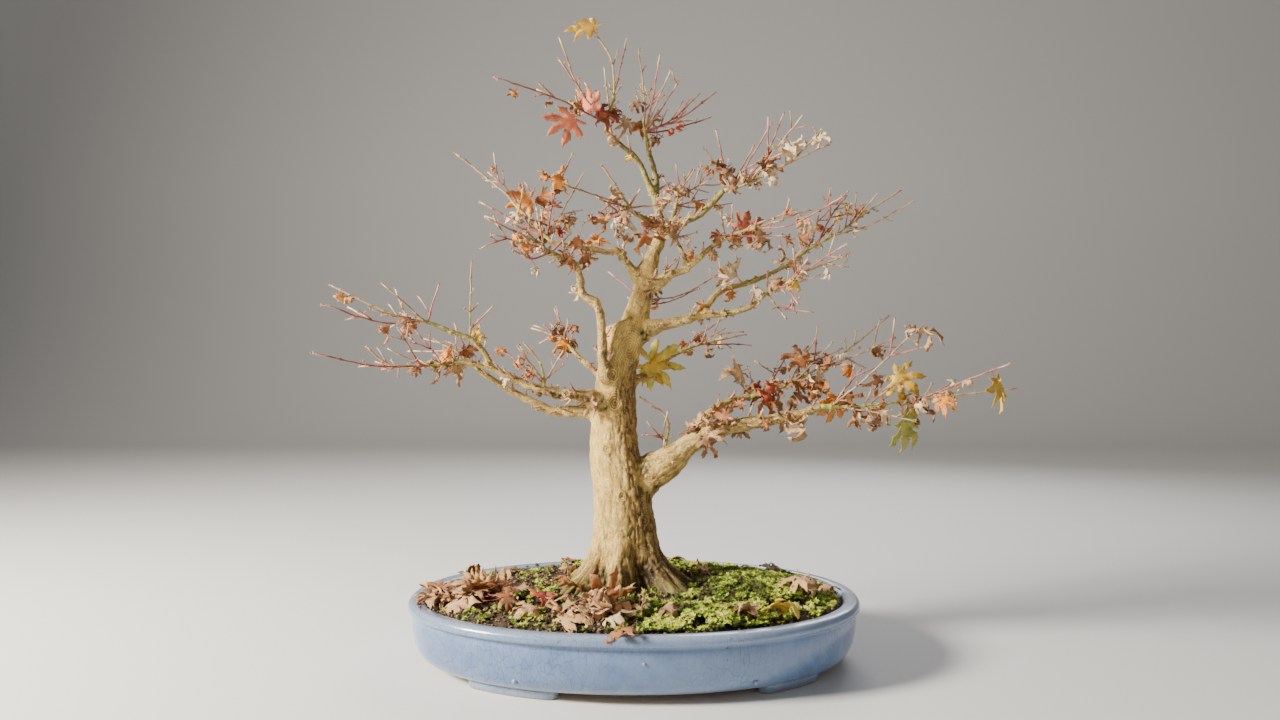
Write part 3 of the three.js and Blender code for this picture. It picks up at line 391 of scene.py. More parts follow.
# %% The tables
LIMBS = {
    "bough_low_right": ("trunk", 14, 3.4, (0, 0.3), [(6, 170, -4), (34, 182, -8), (55, 200, -14),
        (76, 211, -19), (98, 218, -24), (130, 223, -30), (157, 229, -34), (183, 237, -38)]),
    "bough_low_right_arch": ("bough_low_right", 5, 3, (0.2, 0.7), [(54, 200, -13), (64, 217, -9),
        (79, 234, -4), (95, 243, 1), (115, 246, 5)]),
    "bough_low_left_lower": ("trunk", 6.5, 2.8, (0, 0.05), [(-24, 229, 2), (-44, 232, 4), (-77, 233, 8),
        (-92, 240, 10), (-118, 253, 13), (-146, 271, 17)]),
    "bough_low_left_upper": ("trunk", 7, 2.6, (0, 0.4), [(-20, 234, -10), (-40, 246, -17), (-58, 247, -16),
        (-87, 253, -12), (-111, 262, -9), (-134, 273, -7), (-158, 279, -6), (-173, 279, -5)]),
    "bough_low_left_rising": ("bough_low_left_upper", 3.3, 2.4, (0.5, 0.9), [(-135, 273, -7),
        (-141, 288, -9), (-154, 301, -11), (-177, 310, -14), (-190, 316, -16)]),
    "bough_riser": ("trunk", 5.4, 3.8, (0, 0), [(-22, 258, -13), (-27, 276, -23), (-28.5, 307, -26),
        (-30, 324, -26), (-32, 336, -26)]),
    "bough_riser_upper": ("bough_riser", 4, 2.8, (0, 0), [(-32, 335, -26), (-47, 345, -28), (-49, 360, -29),
        (-55, 374, -31), (-73, 382, -35)]),
    "bough_mid_right": ("trunk", 6.2, 4.2, (0, 0.25), [(8, 309, -3), (31, 315.5, -6), (44, 318, -7),
        (59, 322.5, -8), (70, 326.5, -9)]),
    "bough_mid_right_lower": ("bough_mid_right", 3.6, 2.5, (0.2, 0.6), [(69, 326, -9), (82, 325, -14),
        (96, 327, -19), (111, 331, -24), (126, 343, -28)]),
    "bough_mid_right_upper": ("bough_mid_right", 3.6, 2.2, (0.2, 0.8), [(66, 325, -8), (73, 334, -4),
        (81, 344, 0), (89, 349.5, 4), (110, 355, 8), (136, 365.5, 12), (161, 381, 16)]),
    "bough_upper_right": ("trunk", 5.6, 3.2, (0, 0.25), [(12, 350, 0), (29, 357, -4), (37, 364, -6),
        (49, 367, -8), (58, 373, -10), (64, 378, -11)]),
    "bough_upper_right_outer": ("bough_upper_right", 2.9, 2.2, (0.7, 0.5), [(63.5, 377.5, -11),
        (70, 384.5, -14), (78, 391, -16), (86, 396, -18)]),
    "bough_upper_right_inner": ("bough_upper_right", 2.8, 2, (0.6, 0.7), [(54, 370, -9), (51, 379, -8),
        (48, 386, -7), (44, 394, -6)]),
    "bough_upper_left": ("trunk", 5, 3, (0.1, 0.5), [(9, 354, 0), (2, 366, -3), (-4, 374, -5),
        (-10, 384, -7), (-14, 389, -8)]),
    "bough_upper_left_outer": ("bough_upper_left", 3.1, 2.3, (0, 0), [(-13, 388, -8), (-24, 385, -11),
        (-35, 387.5, -14), (-58, 390.5, -18), (-78, 395, -21)]),
    "leader": ("trunk", 8, 4, (0.1, 0.9), [(11, 356, 2), (19, 379, 5), (25, 394, 7), (27, 411, 8),
        (25, 429, 8), (20, 444, 7)]),
    "leader_left": ("leader", 3.2, 2.3, (0.9, 0.7), [(20, 443, 7), (15, 453, 5), (11, 464, 4), (4, 476, 2),
        (-7, 485, 0), (-17, 494, -2), (-26, 502, -4)]),
    "leader_top": ("leader", 3.4, 2.5, (0.8, 0.8), [(23, 438, 8), (24, 450, 14), (21, 466, 16),
        (17, 480, 16), (14, 494, 14)]),
    "bough_crown_right": ("leader", 4.4, 2.8, (0.3, 0.8), [(25, 399, 7), (40, 408.5, 3), (50, 415, 0),
        (61, 418.5, -3), (72.5, 427, -5), (82, 437, -7), (89, 445, -9)]),
    "bough_crown_front": ("leader", 3.6, 2.3, (0.3, 0.6), [(26, 410, 7), (21, 413, -9), (11, 418, -25),
        (0, 424, -39)]),
    "bough_back_high": ("leader", 4, 2.4, (0.4, 0.8), [(26, 390, 7), (32, 402, 26), (38, 414, 46),
        (42, 426, 62)]),
    "bough_back_low": ("trunk", 6, 2.8, (0.1, 0.6), [(-8, 286, 8), (-3, 300, 34), (4, 314, 56),
        (12, 330, 76)]),
    "bough_back_right": ("trunk", 4.6, 2.4, (0, 0.2), [(-6, 256, 10), (10, 266, 28), (24, 275, 38),
        (41, 287, 48)]),
    "bough_back_left": ("trunk", 4.6, 2.3, (0.2, 0.7), [(-20, 258, 10), (-34, 270, 28), (-48, 282, 40),
        (-58, 292, 48)]),
}
MASS_FIELDS = ("on", "at", "seed", "depth", "pairs", "leaves", "stem", "shoots", "hung")
MASSES = {
    "twigs_low_right_tip": ("bough_low_right", 1, 11, (-120, 30), 3, 5, [(216, 237), (256, 241), (286, 245),
        (369, 254)], [(363, 278, 0.5), (272, 309, 0.05), (272, 223, 0.1), (252, 262, 0.25),
        (221, 273, 0.02), (310, 262, 0.3)], [(354, 246, 26), (284, 311, 30), (266, 211, 40),
        (252, 252, 34)]),
    "twigs_low_right_arch": ("bough_low_right_arch", 1, 12, (-20, 100), 3, 7, [(146, 256), (179, 273),
        (210, 293), (246, 323)], [(253, 303, 0.45), (192, 298, 0.3), (176, 301, 0.25), (148, 285, 0.1),
        (139, 279, 0.04), (112, 275, 0.02)], [(152, 290, 32), (196, 262, 34)]),
    "twigs_low_right_spur": ("bough_low_right", 0.13, 13, (-30, 20), 1, 1, [(35, 218), (31, 230), (9, 245)],
        [(16, 221, 0.3), (58, 252, 0.15)], []),
    "twigs_low_left_tip": ("bough_low_left_upper", 1, 21, (-90, 50), 3, 3, [(-193, 276), (-220, 274),
        (-240, 281), (-254, 294)], [(-305, 288, 0.25), (-224, 312, 0.35), (-235, 293, 0.3),
        (-212, 316, 0.12), (-246, 280, 0.5)], [(-178, 284, 32)]),
    "twigs_low_left_rise": ("bough_low_left_rising", 1, 22, (-60, 40), 2, 1, [(-203, 319), (-221, 322),
        (-289, 353)], [(-297, 335, 0.12), (-239, 355, 0.08), (-185, 354, 0.01), (-222, 327, 0.1),
        (-250, 330, 0.05)], []),
    "twigs_low_left_upright": ("bough_low_left_rising", 0.5, 23, (-30, -5), 0, 0, [(-155, 312), (-155, 328),
        (-154, 376)], [(-133, 333, 0.12)], [(-147, 307, 26)]),
    "twigs_low_left_inner": ("bough_low_left_upper", 0.42, 24, (-55, 10), 1, 2, [(-85, 270), (-90, 282),
        (-103, 297)], [(-109, 294, 0.2), (-66, 290, 0.12), (-122, 290, 0.08)], [(-122, 289, 16)]),
    "twigs_low_left_back": ("bough_low_left_lower", 1, 25, (20, 130), 2, 2, [(-160, 284), (-180, 296),
        (-200, 302)], [(-170, 316, 0.2), (-215, 290, 0.5), (-140, 300, 0.05), (-190, 286, 0.15)], []),
    "twigs_left_crown_low": ("bough_riser_upper", 1, 31, (-110, -10), 3, 5, [(-83, 389), (-98, 402),
        (-114, 412)], [(-110, 388, 0.04), (-140, 418, 0.4), (-134, 402, 0.2), (-92, 428, 0.3),
        (-60, 402, 0.02)], [(-66, 388, 30), (-86, 372, 24)]),
    "twigs_left_crown_high": ("bough_upper_left_outer", 1, 32, (-20, 110), 3, 7, [(-92, 410), (-108, 426),
        (-122, 442), (-169, 480)], [(-145, 433, 0.1), (-141, 420, 0.06), (-138, 462, 0.3),
        (-102, 452, 0.15), (-57, 479, 0.04), (-46, 461, 0.02), (-76, 446, 0.05)], [(-76, 452, 32),
        (-112, 430, 30), (-62, 404, 34)]),
    "twigs_apex_left": ("leader_left", 1, 41, (-70, 40), 2, 4, [(-22, 516), (-18, 531), (-19, 568),
        (-36, 597)], [(-131, 553, 0.02), (-69, 590, 0.05), (-70, 571, 0.07), (-26, 561, 0.2),
        (-5, 589, 0.12), (-45, 548, 0.1)], [(-50, 596, 30), (-71, 507, 40), (-30, 520, 34)]),
    "twigs_apex_top": ("leader_top", 1, 42, (-40, 80), 3, 2, [(12, 509), (13, 524), (7, 577)],
        [(27, 573, 0.12), (37, 559, 0.1), (46, 551, 0.08), (80, 538, 0.1), (64, 536, 0.05), (75, 514, 0.02),
        (58, 512, 0.02)], []),
    "twigs_crown_right": ("bough_crown_right", 1, 51, (-95, 40), 3, 5, [(103, 448), (124, 457), (151, 471),
        (188, 488)], [(182, 503, 0.45), (164, 516, 0.25), (146, 518, 0.15), (134, 508, 0.1),
        (117, 487, 0.03), (81, 502, 0.02), (69, 485, 0.01)], [(152, 471, 34), (128, 460, 26)]),
    "twigs_upper_right": ("bough_upper_right_outer", 1, 52, (-110, 0), 2, 4, [(103, 404), (122, 409),
        (172, 426)], [(202, 438, 0.4), (85, 425, 0.02), (147, 401, 0.15), (157, 426, 0.25),
        (112, 424, 0.1)], [(118, 407, 40), (88, 372, 36)]),
    "twigs_upper_right_inner": ("bough_upper_right_inner", 1, 53, (-50, 0), 0, 4, [(41, 404), (40, 414)],
        [(30, 424, 0.3), (56, 421, 0.2), (62, 404, 0.1), (22, 404, 0.1)], [(12, 392, 40)]),
    "twigs_mid_right_upper": ("bough_mid_right_upper", 1, 54, (0, 120), 4, 2, [(172, 389), (198, 403),
        (224, 422), (258, 444)], [(270, 434, 0.35), (235, 440, 0.55), (222, 431, 0.5), (206, 439, 0.2),
        (198, 417, 0.15), (180, 424, 0.05), (158, 424, 0.01)], []),
    "twigs_mid_right_lower": ("bough_mid_right_lower", 1, 55, (-120, -10), 3, 4, [(140, 352), (162, 364),
        (208, 383)], [(169, 378, 0.2), (206, 393, 0.5), (148, 322, 0.02), (180, 362, 0.1),
        (130, 366, 0.06)], [(106, 344, 28)]),
    "twigs_back_right": ("bough_back_right", 1, 61, (50, 140), 2, 2, [(64, 296), (82, 300), (109, 306)],
        [(90, 312, 0.3), (114, 296, 0.4), (67, 308, 0.1)], [(34, 274, 44)]),
    "twigs_back_left": ("bough_back_left", 1, 62, (50, 145), 2, 3, [(-66, 303), (-78, 316)],
        [(-56, 308, 0.1), (-96, 312, 0.4), (-74, 330, 0.3)], [(-72, 296, 24)]),
    "twigs_back_low": ("bough_back_low", 1, 63, (80, 190), 4, 5, [(20, 346), (30, 362), (42, 378)],
        [(70, 388, 0.4), (10, 384, 0.3), (-22, 366, 0.1), (64, 350, 0.1), (90, 368, 0.2), (-4, 342, 0.05)],
        []),
    "twigs_back_high": ("bough_back_high", 1, 64, (60, 160), 3, 4, [(44, 436), (48, 448), (58, 464)],
        [(30, 456, 0.3), (76, 456, 0.3), (42, 470, 0.5), (72, 436, 0.1), (16, 440, 0.05), (96, 432, 0.05)],
        []),
    "twigs_crown_front": ("bough_crown_front", 1, 65, (-125, -45), 2, 5, [(-8, 438), (-28, 468)],
        [(-76, 454, 0.02), (-32, 436, 0.1), (-46, 414, 0.04), (8, 446, 0.15), (28, 430, 0.03)],
        [(-8, 420, 34), (-30, 428, 26)]),
}
MASSES = {name: dict(zip(MASS_FIELDS, values)) for name, values in MASSES.items()}
print(len(LIMBS), "limbs and", len(MASSES), "masses")

# %% [markdown]
# ## Growing the twigs by the solids' rule
#
# The solids were grown by a seeded rule: a shoot is put only where it stays clear of everything
# before it. Here the same rule runs again with the same numbers, so each long shoot, side twig
# and leaf comes out where its solid is. A share of random numbers is drawn in the same order.

# %% Room in the crown
TAPER = 1.5
CLEAR_OF_OTHERS = 1
CLEAR_OF_OWN = 0.2


class Room:
    """The bars that are already in the crown, and the test for a new one."""

    def __init__(self):
        self.start = np.empty((0, 3))
        self.end = np.empty((0, 3))
        self.radius = np.empty(0)
        self.owner = np.empty(0, dtype=object)

    def take(self, owner, line):
        points, radii = line
        self.start = np.vstack([self.start, points[:-1]])
        self.end = np.vstack([self.end, points[1:]])
        self.radius = np.append(self.radius, (radii[:-1] + radii[1:]) / 2)
        self.owner = np.append(self.owner, [owner] * (len(points) - 1))

    def distance(self, first, last, chosen):
        """The shortest distance from one bar to each of the chosen ones."""
        start, end = self.start[chosen], self.end[chosen]
        d1 = last - first
        d2 = end - start
        r = first - start
        a = d1 @ d1
        e = (d2 * d2).sum(1)
        f = (d2 * r).sum(1)
        b = d2 @ d1
        c = r @ d1
        spread = a * e - b * b
        with np.errstate(divide="ignore", invalid="ignore"):
            s = np.where(spread > 1e-9, np.clip((b * f - c * e) / spread, 0, 1), 0)
            t = (b * s + f) / e
        # The bars come nearest at the share s of the first and t of the other.
        outside = (t < 0) | (t > 1)
        t = np.clip(t, 0, 1)
        s = np.where(outside, np.clip((b * t - c) / a, 0, 1), s)
        return np.linalg.norm(first + s[:, None] * d1 - start - t[:, None] * d2, axis=1)

    def is_free(self, owner, line, ignored=None, own_share=1):
        points, radii = line
        own = self.owner == owner
        others = ~own & (self.owner != ignored)
        for k in range(len(points) - 1):
            a, b = points[k], points[k + 1]
            outer = a + 0.4 * (b - a) if k == 0 else a
            radius = (radii[k] + radii[k + 1]) / 2
            tests = ((others, a, radius + CLEAR_OF_OTHERS), (own, outer, own_share * radius + CLEAR_OF_OWN))
            for chosen, first, gap in tests:
                if (self.distance(first, b, chosen) < self.radius[chosen] + gap).any():
                    return False
        return True


def tapered(root, tip, path, steps):
    """Points along a drawn line, and radii that shrink from root to tip."""
    shares = np.linspace(0, 1, steps + 1)
    return along_curve([seen(*p) for p in path], shares), tip + (root - tip) * (1 - shares) ** TAPER


def limb_line(name, steps):
    _, root, tip, _, path = LIMBS[name]
    return tapered(root, tip, path, steps)


def along_line(line, share):
    """Place, radius, direction and whole length at a share of a line's length."""
    points, radii = line
    lengths = reaches(points)
    wanted = share * lengths[-1]
    k = 1
    while k < len(points) - 1 and lengths[k] < wanted:
        k += 1
    part = (wanted - lengths[k - 1]) / (lengths[k] - lengths[k - 1])
    at = points[k - 1] + (points[k] - points[k - 1]) * part
    radius = radii[k - 1] + (radii[k] - radii[k - 1]) * part
    return at, radius, unit(points[k] - points[k - 1]), lengths[-1]


print("Long shoots keep", CLEAR_OF_OTHERS, "mm from what isn't theirs")

# %% [markdown]
# The trunk and the limbs take their room first. The trunk's levels come from the solids too:
# height, middle to the right, radius and depth. Above its old shoulder a leader goes on.

# %% What is there before the twigs
SOIL_TOP_HEIGHT = 66
TRUNK_LEVELS = [
    (66.3, -4, 47, 0), (74, -5, 42, 0), (84, -6, 36, 0), (96, -7, 31.5, 0), (111, -7, 29, 0),
    (127, -7.5, 28, 0), (153, -9.5, 27, 0), (179, -13.5, 25, 1), (197, -16.5, 22.5, 1),
    (230, -16.5, 20.5, 1), (251, -16, 19.5, 1), (270, -14.5, 18.5, 1), (286, -12.5, 19.5, 1),
    (300, -9.5, 20.5, 1), (313, -6, 20, 1),
]
# Radius at its root and tip, and its line.
TRUNK_LEADER = (17, 8.6, [(1, 300, 1), (3, 318, 1), (8, 336, 1), (11.5, 349, 1), (11, 362, 1)])

room = Room()
levels = np.array(TRUNK_LEVELS, float)
for lower, upper in zip(levels, levels[1:]):
    room.take("trunk", (np.array([lower[[1, 3, 0]], upper[[1, 3, 0]]]), upper[[2, 2]]))
room.take("trunk", tapered(*TRUNK_LEADER, 5))
limb_lines = {name: limb_line(name, 4 * (len(limb[4]) - 1)) for name, limb in LIMBS.items()}
for name, line in limb_lines.items():
    room.take(name, line)
print(len(room.radius), "bars of trunk and limbs")

# %% [markdown]
# A mass starts with its stem, which goes on from a limb's tip. Long shoots leave the stem and bow a
# little, and side twigs stand in opposite pairs, as a maple's buds do, each pair turned a quarter
# from the last.

# %% Stems, shoots and side twigs
TIP_RADIUS = 0.62
STEM_RADIUS = 1.9
SPUR_RADIUS = 2
STEM_SUNK = 1.5
SHOOT_BOW = 0.14
BOWED_FROM_MM = 70
SIDE_ROOT_RADIUS = 0.85
SIDE_TWIG_MM = (14, 38)
SIDE_SPREAD_DEG = 42
UPWARD = 0.35
UP = np.array([0.0, 0.0, 1.0])
RIGHT = np.array([1.0, 0.0, 0.0])


def between(pair, share):
    return pair[0] + (pair[1] - pair[0]) * share


def turned(vector, axis, angle):
    """A vector turned about an axis that it is square to."""
    return vector * math.cos(angle) + np.cross(axis, vector) * math.sin(angle)


def upright_or(other, way, limit=0.9):
    """The upward way, or another one where the given way is itself near upright."""
    return UP if abs(way[2]) < limit else other


def stem_line(mass, draw):
    from_tip = mass["at"] == 1
    start, radius, along, _ = along_line(limb_lines[mass["on"]], mass["at"])
    root_radius = radius * 0.97 if from_tip else min(radius / 2, SPUR_RADIUS)
    middle_depth = between(mass["depth"], 0.3 + 0.4 * draw())
    tip_depth = start[1] + (middle_depth - start[1]) * 0.7
    points = [start + along * (-STEM_SUNK if from_tip else 0)]
    radii = [root_radius]
    for k, (right, up) in enumerate(mass["stem"]):
        share = (k + 1) / len(mass["stem"])
        points.append(seen(right, up, start[1] + (tip_depth - start[1]) * share))
        radii.append(between((min(root_radius, STEM_RADIUS), TIP_RADIUS * 1.1), share**0.7))
    return np.array(points), np.array(radii)


def bowed_line(root, tip, root_radius, draw):
    length = np.linalg.norm(tip - root)
    bow = np.array([draw() - 0.5, draw() - 0.5, draw() - 0.7]) * SHOOT_BOW * length
    if length <= BOWED_FROM_MM:
        return np.array([root, tip]), np.array([root_radius, TIP_RADIUS])
    radii = np.array([root_radius, (root_radius + TIP_RADIUS) / 2, TIP_RADIUS])
    return np.array([root, root + (tip - root) * 0.45 + bow, tip]), radii


def side_pair(parent, share, turn, draw):
    at, radius, along, _ = along_line(parent, share)
    side = turned(unit(np.cross(along, upright_or(RIGHT, along))), along, turn)
    radii = np.array([min(SIDE_ROOT_RADIUS, radius), TIP_RADIUS])
    pair = []
    for hand in (1, -1):
        spread = math.radians(SIDE_SPREAD_DEG + 16 * (draw() - 0.5))
        way = along * math.cos(spread) + side * hand * math.sin(spread)
        way[2] += UPWARD * draw()
        length = between(SIDE_TWIG_MM, draw() ** 1.6)
        pair.append((np.array([at, at + unit(way) * length]), radii))
    return pair


print("A stem starts", STEM_SUNK, "mm inside its limb")

# %% [markdown]
# The leaves that still hang droop from thin stalks. A leaf takes as much room as two bars would,
# so that later twigs grow past it and not through it.

# %% Room for hanging leaves
STALK_RADIUS = 0.55
LEAF_ROOM = 0.45
LEAF_OWN_SHARE = 0.2


def hung_leaf(owner, start, way, stalk, size, draw, known=False):
    """Stalk's start, place, direction, size, curl and roll of a leaf, or None if it has no room."""
    way = unit(way)
    at = start + way * stalk
    droop = unit(way - UP * (0.5 + 0.6 * draw()))
    curl = 0.15 + 0.4 * draw()
    roll = (draw() - 0.5) * 1.6
    line = np.array([start, at, at + droop * size]), np.array([STALK_RADIUS, *[size * LEAF_ROOM] * 2])
    if not room.is_free(owner, line, None, LEAF_OWN_SHARE):
        return None
    room.take(owner, line)
    return start, at, droop, size, curl, roll, known


def nearest_root(shoots, right, up):
    """The point of some shoots that shows nearest to a place, and the way from it to there."""
    roots = [along_line(line, share)[0] for line in shoots for share in np.arange(0.12, 0.999, 0.04)]
    ways = [seen(right, up, root[1]) - root for root in roots]
    nearest = int(np.argmin(np.linalg.norm(ways, axis=1)))
    return roots[nearest], ways[nearest]


print("A leaf takes", LEAF_ROOM, "of its size as room on each side")

# %% [markdown]
# Now each mass is grown in one go: stem, long shoots, side twigs and leaves. Where a shoot hits
# something, it tries again at another depth, and stays out if six tries fail.

# %% Grow each mass
SHOOT_ROOT_RADIUS = 1.15
SHOOT_ATTEMPTS = 6
FIRST_SHOOT_MM = 7
GOLDEN_SHARE = 0.618
STALK_MM = (6, 12)
BLADE_MM = (9, 17)
PLACED_STALK_MM = (6, 24)
BLADE_SHARE = 0.6


def grow(name, mass):
    """The stem, the long shoots, the side twigs and the leaves of a mass."""
    draw = stream(mass["seed"])
    stem = stem_line(mass, draw)
    if room.is_free(name, stem, mass["on"]):
        room.take(name, stem)
    shoots = [stem]
    for k, (right, up, share) in enumerate(mass["shoots"]):
        root, radius, _, _ = along_line(stem, max(share, FIRST_SHOOT_MM / along_line(stem, 0)[3]))
        for attempt in range(SHOOT_ATTEMPTS):
            spread = ((k + 0.5 * draw() + GOLDEN_SHARE * attempt) / len(mass["shoots"])) % 1
            tip = seen(right, up, between(mass["depth"], spread))
            line = bowed_line(root, tip, min(SHOOT_ROOT_RADIUS, radius), draw)
            if room.is_free(name, line):
                room.take(name, line)
                shoots.append(line)
                break
    twigs = []
    turn = draw() * math.pi
    for _ in range(mass["pairs"]):
        parent = shoots[int(draw() * len(shoots))]
        for line in side_pair(parent, 0.2 + 0.65 * draw(), turn, draw):
            if room.is_free(name, line):
                room.take(name, line)
                twigs.append(line)
        turn += math.pi / 2
    leaves = []
    for right, up, length in mass["hung"]:
        root, way = nearest_root(shoots, right, up)
        stalk = float(np.clip(np.linalg.norm(way), *PLACED_STALK_MM))
        leaves.append(hung_leaf(name, root, way, stalk, length * BLADE_SHARE, draw, True))
    for _ in range(mass["leaves"]):
        parent = shoots[int(draw() * len(shoots))]
        root = along_line(parent, 0.08 + 0.5 * draw() ** 1.5)[0]
        way = np.array([draw() - 0.5, draw() - 0.5, 0.5 * draw() - 0.45])
        leaves.append(hung_leaf(name, root, way, between(STALK_MM, draw()), between(BLADE_MM, draw()), draw))
    return {"stem": stem, "shoots": shoots[1:], "twigs": twigs, "leaves": [leaf for leaf in leaves if leaf]}


grown = {name: grow(name, mass) for name, mass in MASSES.items()}
print({kind: sum(len(mass[kind]) for mass in grown.values()) for kind in ("shoots", "twigs", "leaves")})

# %% [markdown]
# ## The wood
#
# An old maple's trunk is never a plain cone. Its foot spreads into surface roots, broad flutes run
# up from them, a flat scar tops it where the first leader was cut, and each bough leaves it with a
# swollen collar. Single tubes can't show that where they meet. So trunk and boughs are made as
# closed tubes that run into each other, a voxel remesh welds them into one skin, and the joints
# are smoothed. The furrows are pushed into that skin afterwards.

# %% The trunk's tube
# Bearing in degrees, length and spread of the surface roots and of the fine ones and hollows.
SURFACE_ROOTS = [
    (-148, 24, 20), (-96, 15, 13), (-68, -13, 12), (-118, -9, 8), (-36, 25, 14), (5, 19, 15), (48, 16, 18),
    (96, 17, 17), (150, 21, 19), (-166, 6, 6), (-139, 5, 5), (-128, -5, 7), (-100, 5, 5), (-90, -4, 6),
    (-62, 4, 3), (-52, -3, 5), (-43, 4, 4), (-22, 5, 5), (-12, -6, 7), (18, 5, 5), (30, -5, 7), (70, -5, 9),
    (84, 5, 6), (110, 5, 6), (124, -6, 8), (140, 4, 5), (163, 4, 5), (178, -5, 8),
]
ROOT_RISE = 27
TRUNK_SIDES = 120
TRUNK_RINGS = 150
BELOW_GROUND = 9
STUMP_TOP = (314, 327)
# Share of the stump's height and of the trunk's width, from its edge to its middle.
STUMP_STEPS = ((0.55, 0.98), (0.85, 0.93), (1.0, 0.84), (0.8, 0.6), (0.7, 0.3))

foot_level = (SOIL_TOP_HEIGHT - BELOW_GROUND, -4, 50, 0)
trunk_levels = curve_point([foot_level, *TRUNK_LEVELS], np.linspace(0, 1, TRUNK_RINGS))


def trunk_rings():
    """Rings up the trunk: the foot in the soil, the spread roots, the bole and the flat scar."""
    angles = 2 * np.pi * np.arange(TRUNK_SIDES) / TRUNK_SIDES
    up, right, radius, depth = trunk_levels.T[:, :, None]
    height = np.maximum(up - SOIL_TOP_HEIGHT, 0)
    flare = np.exp(-height / ROOT_RISE) * np.exp(-((height / (2.2 * ROOT_RISE)) ** 2))
    reach = radius * (1 + 0.035 * np.sin(3 * angles + up / 40) + 0.02 * np.sin(5 * angles - up / 30))
    for bearing, length, spread in SURFACE_ROOTS:
        off = (np.degrees(angles) - bearing + 180) % 360 - 180
        reach = reach + length * flare * np.exp(-((off / spread) ** 2))
    x, y = right + reach * np.cos(angles), depth + reach * np.sin(angles)
    rings = np.stack([x, y, up + 0 * reach], axis=2)
    top = rings[-1]
    middle = top[:, :2].mean(0)
    lift = between(STUMP_TOP, (1 + np.cos(angles)) / 2) - top[:, 2]
    scar = [np.column_stack([middle + (top[:, :2] - middle) * size, top[:, 2] + lift * share])
            for share, size in STUMP_STEPS]
    return np.concatenate([rings, scar])


wood = Heap()
rings = trunk_rings()
wood.add(rings.reshape(-1, 3), ring_faces(len(rings), TRUNK_SIDES))
print("The trunk's tube has", len(rings), "rings")

# %% [markdown]
# A bough has knots where twigs once left it, a few short stubs of pruned shoots, and a collar at
# its root. All come from its radius: knots are short swellings, a collar is a swelling that fades
# over about one thickness. Two more tubes make the heavy shoulder under the lowest bough.

# %% The boughs' tubes
COLLAR = 0.5
COLLAR_MM = {"trunk": 14.0, "bough_low_right": 8.0}
KNOT_SWELL = 0.13
KNOT_MM = (9, 17)
SHOULDER = [[(12, 146, -7), (17, 160, -9), (23, 176, -11)], [(25, 168, -9), (31, 181, -11), (44, 190, -12)]]
SHOULDER_RADII = [(6, 9.5, 12.5), (11, 15, 11)]


def knot_places(length, draw, spacing=KNOT_MM):
    places = []
    reach = between(spacing, draw()) * 0.6
    while reach < length - 3:
        places.append(reach)
        reach += between(spacing, draw())
    return np.array(places)


def add_bough(name, seed):
    """A knotty tube for a limb, with stubs, and the places of its knots."""
    parent, root = LIMBS[name][:2]
    length = along_line(limb_lines[name], 0)[3]
    points, radii = limb_line(name, max(8, int(length / 1.6)))
    draw = stream(seed)
    reach = np.linspace(0, length, len(points))
    thick = radii * (1 + COLLAR * np.exp(-np.maximum(reach - COLLAR_MM.get(parent, 4.0), 0) / (0.9 * root)))
    if parent == "trunk":
        # The end inside the trunk is rounded, so that it can't show through the far side.
        thick *= np.sqrt(np.clip(0.15 + reach / (1.6 * root), 0, 1))
    places = knot_places(length, draw)
    for place in places:
        thick += radii * KNOT_SWELL * (0.6 + draw()) * np.exp(-(((reach - place) / (0.8 + 0.3 * root)) ** 2))
    points = points + 0.09 * root * wander(points, 11.0, seed, seed + 9.1, seed + 18.2)
    wood.add(*tube(points, thick, 18))
    along, side, other = frames_along(points)
    for place in places:
        if draw() > 0.45:
            continue
        k = int(np.argmin(abs(reach - place)))
        angle = 2 * math.pi * draw()
        way = unit(side[k] * math.cos(angle) + other[k] * math.sin(angle) + 0.5 * along[k])
        size = min(0.55 * radii[k], 1.3 + 0.8 * draw())
        stub = points[k] + np.outer([0, thick[k] + 0.8 + 1.8 * draw()], way)
        wood.add(*tube(stub, [size * 1.25, size], 8))
    return places / length


knots = {name: add_bough(name, 500 + k) for k, name in enumerate(LIMBS)}
wood.add(*tube(*tapered(*TRUNK_LEADER, 30), 28))
shares = np.linspace(0, 1, 12)
for path, radii in zip(SHOULDER, SHOULDER_RADII):
    wood.add(*tube(along_curve([seen(*p) for p in path], shares), np.interp(shares, (0, 0.5, 1), radii), 20))
print("The wood has", len(wood.faces), "faces before it is welded")

# %% [markdown]
# The remesh gives an even skin of small squares. It follows the outer surface of all tubes at
# once and drops what is inside. The object that holds the modifier is only a helper, so its
# result is copied to a mesh and the helper is removed.

# %% Weld the skin
VOXEL_MM = 1.28
helper = linked("helper", mesh_of("helper", *wood.joined()))
remesh = helper.modifiers.new("skin", "REMESH")
remesh.mode = "VOXEL"
remesh.voxel_size = VOXEL_MM * MM
skin = bpy.data.meshes.new_from_object(helper.evaluated_get(bpy.context.evaluated_depsgraph_get()))
bpy.data.objects.remove(helper)


def read_vectors(values, field):
    """The vectors of a mesh's points, edges or normals as an array."""
    flat = np.empty(len(values) * 3)
    values.foreach_get(field, flat)
    return flat.reshape(-1, 3)


skin_points = to_drawing(read_vectors(skin.vertices, "co"))
print("The skin has", len(skin_points), "points")

# %% [markdown]
# Each point of the skin needs to know its limb: how far along it is, where round it, and how
# thick the wood is there. The nearest sample on any limb's middle line tells all three. Stored on
# the mesh as the place in a straightened limb, they let the grain run along every bough.

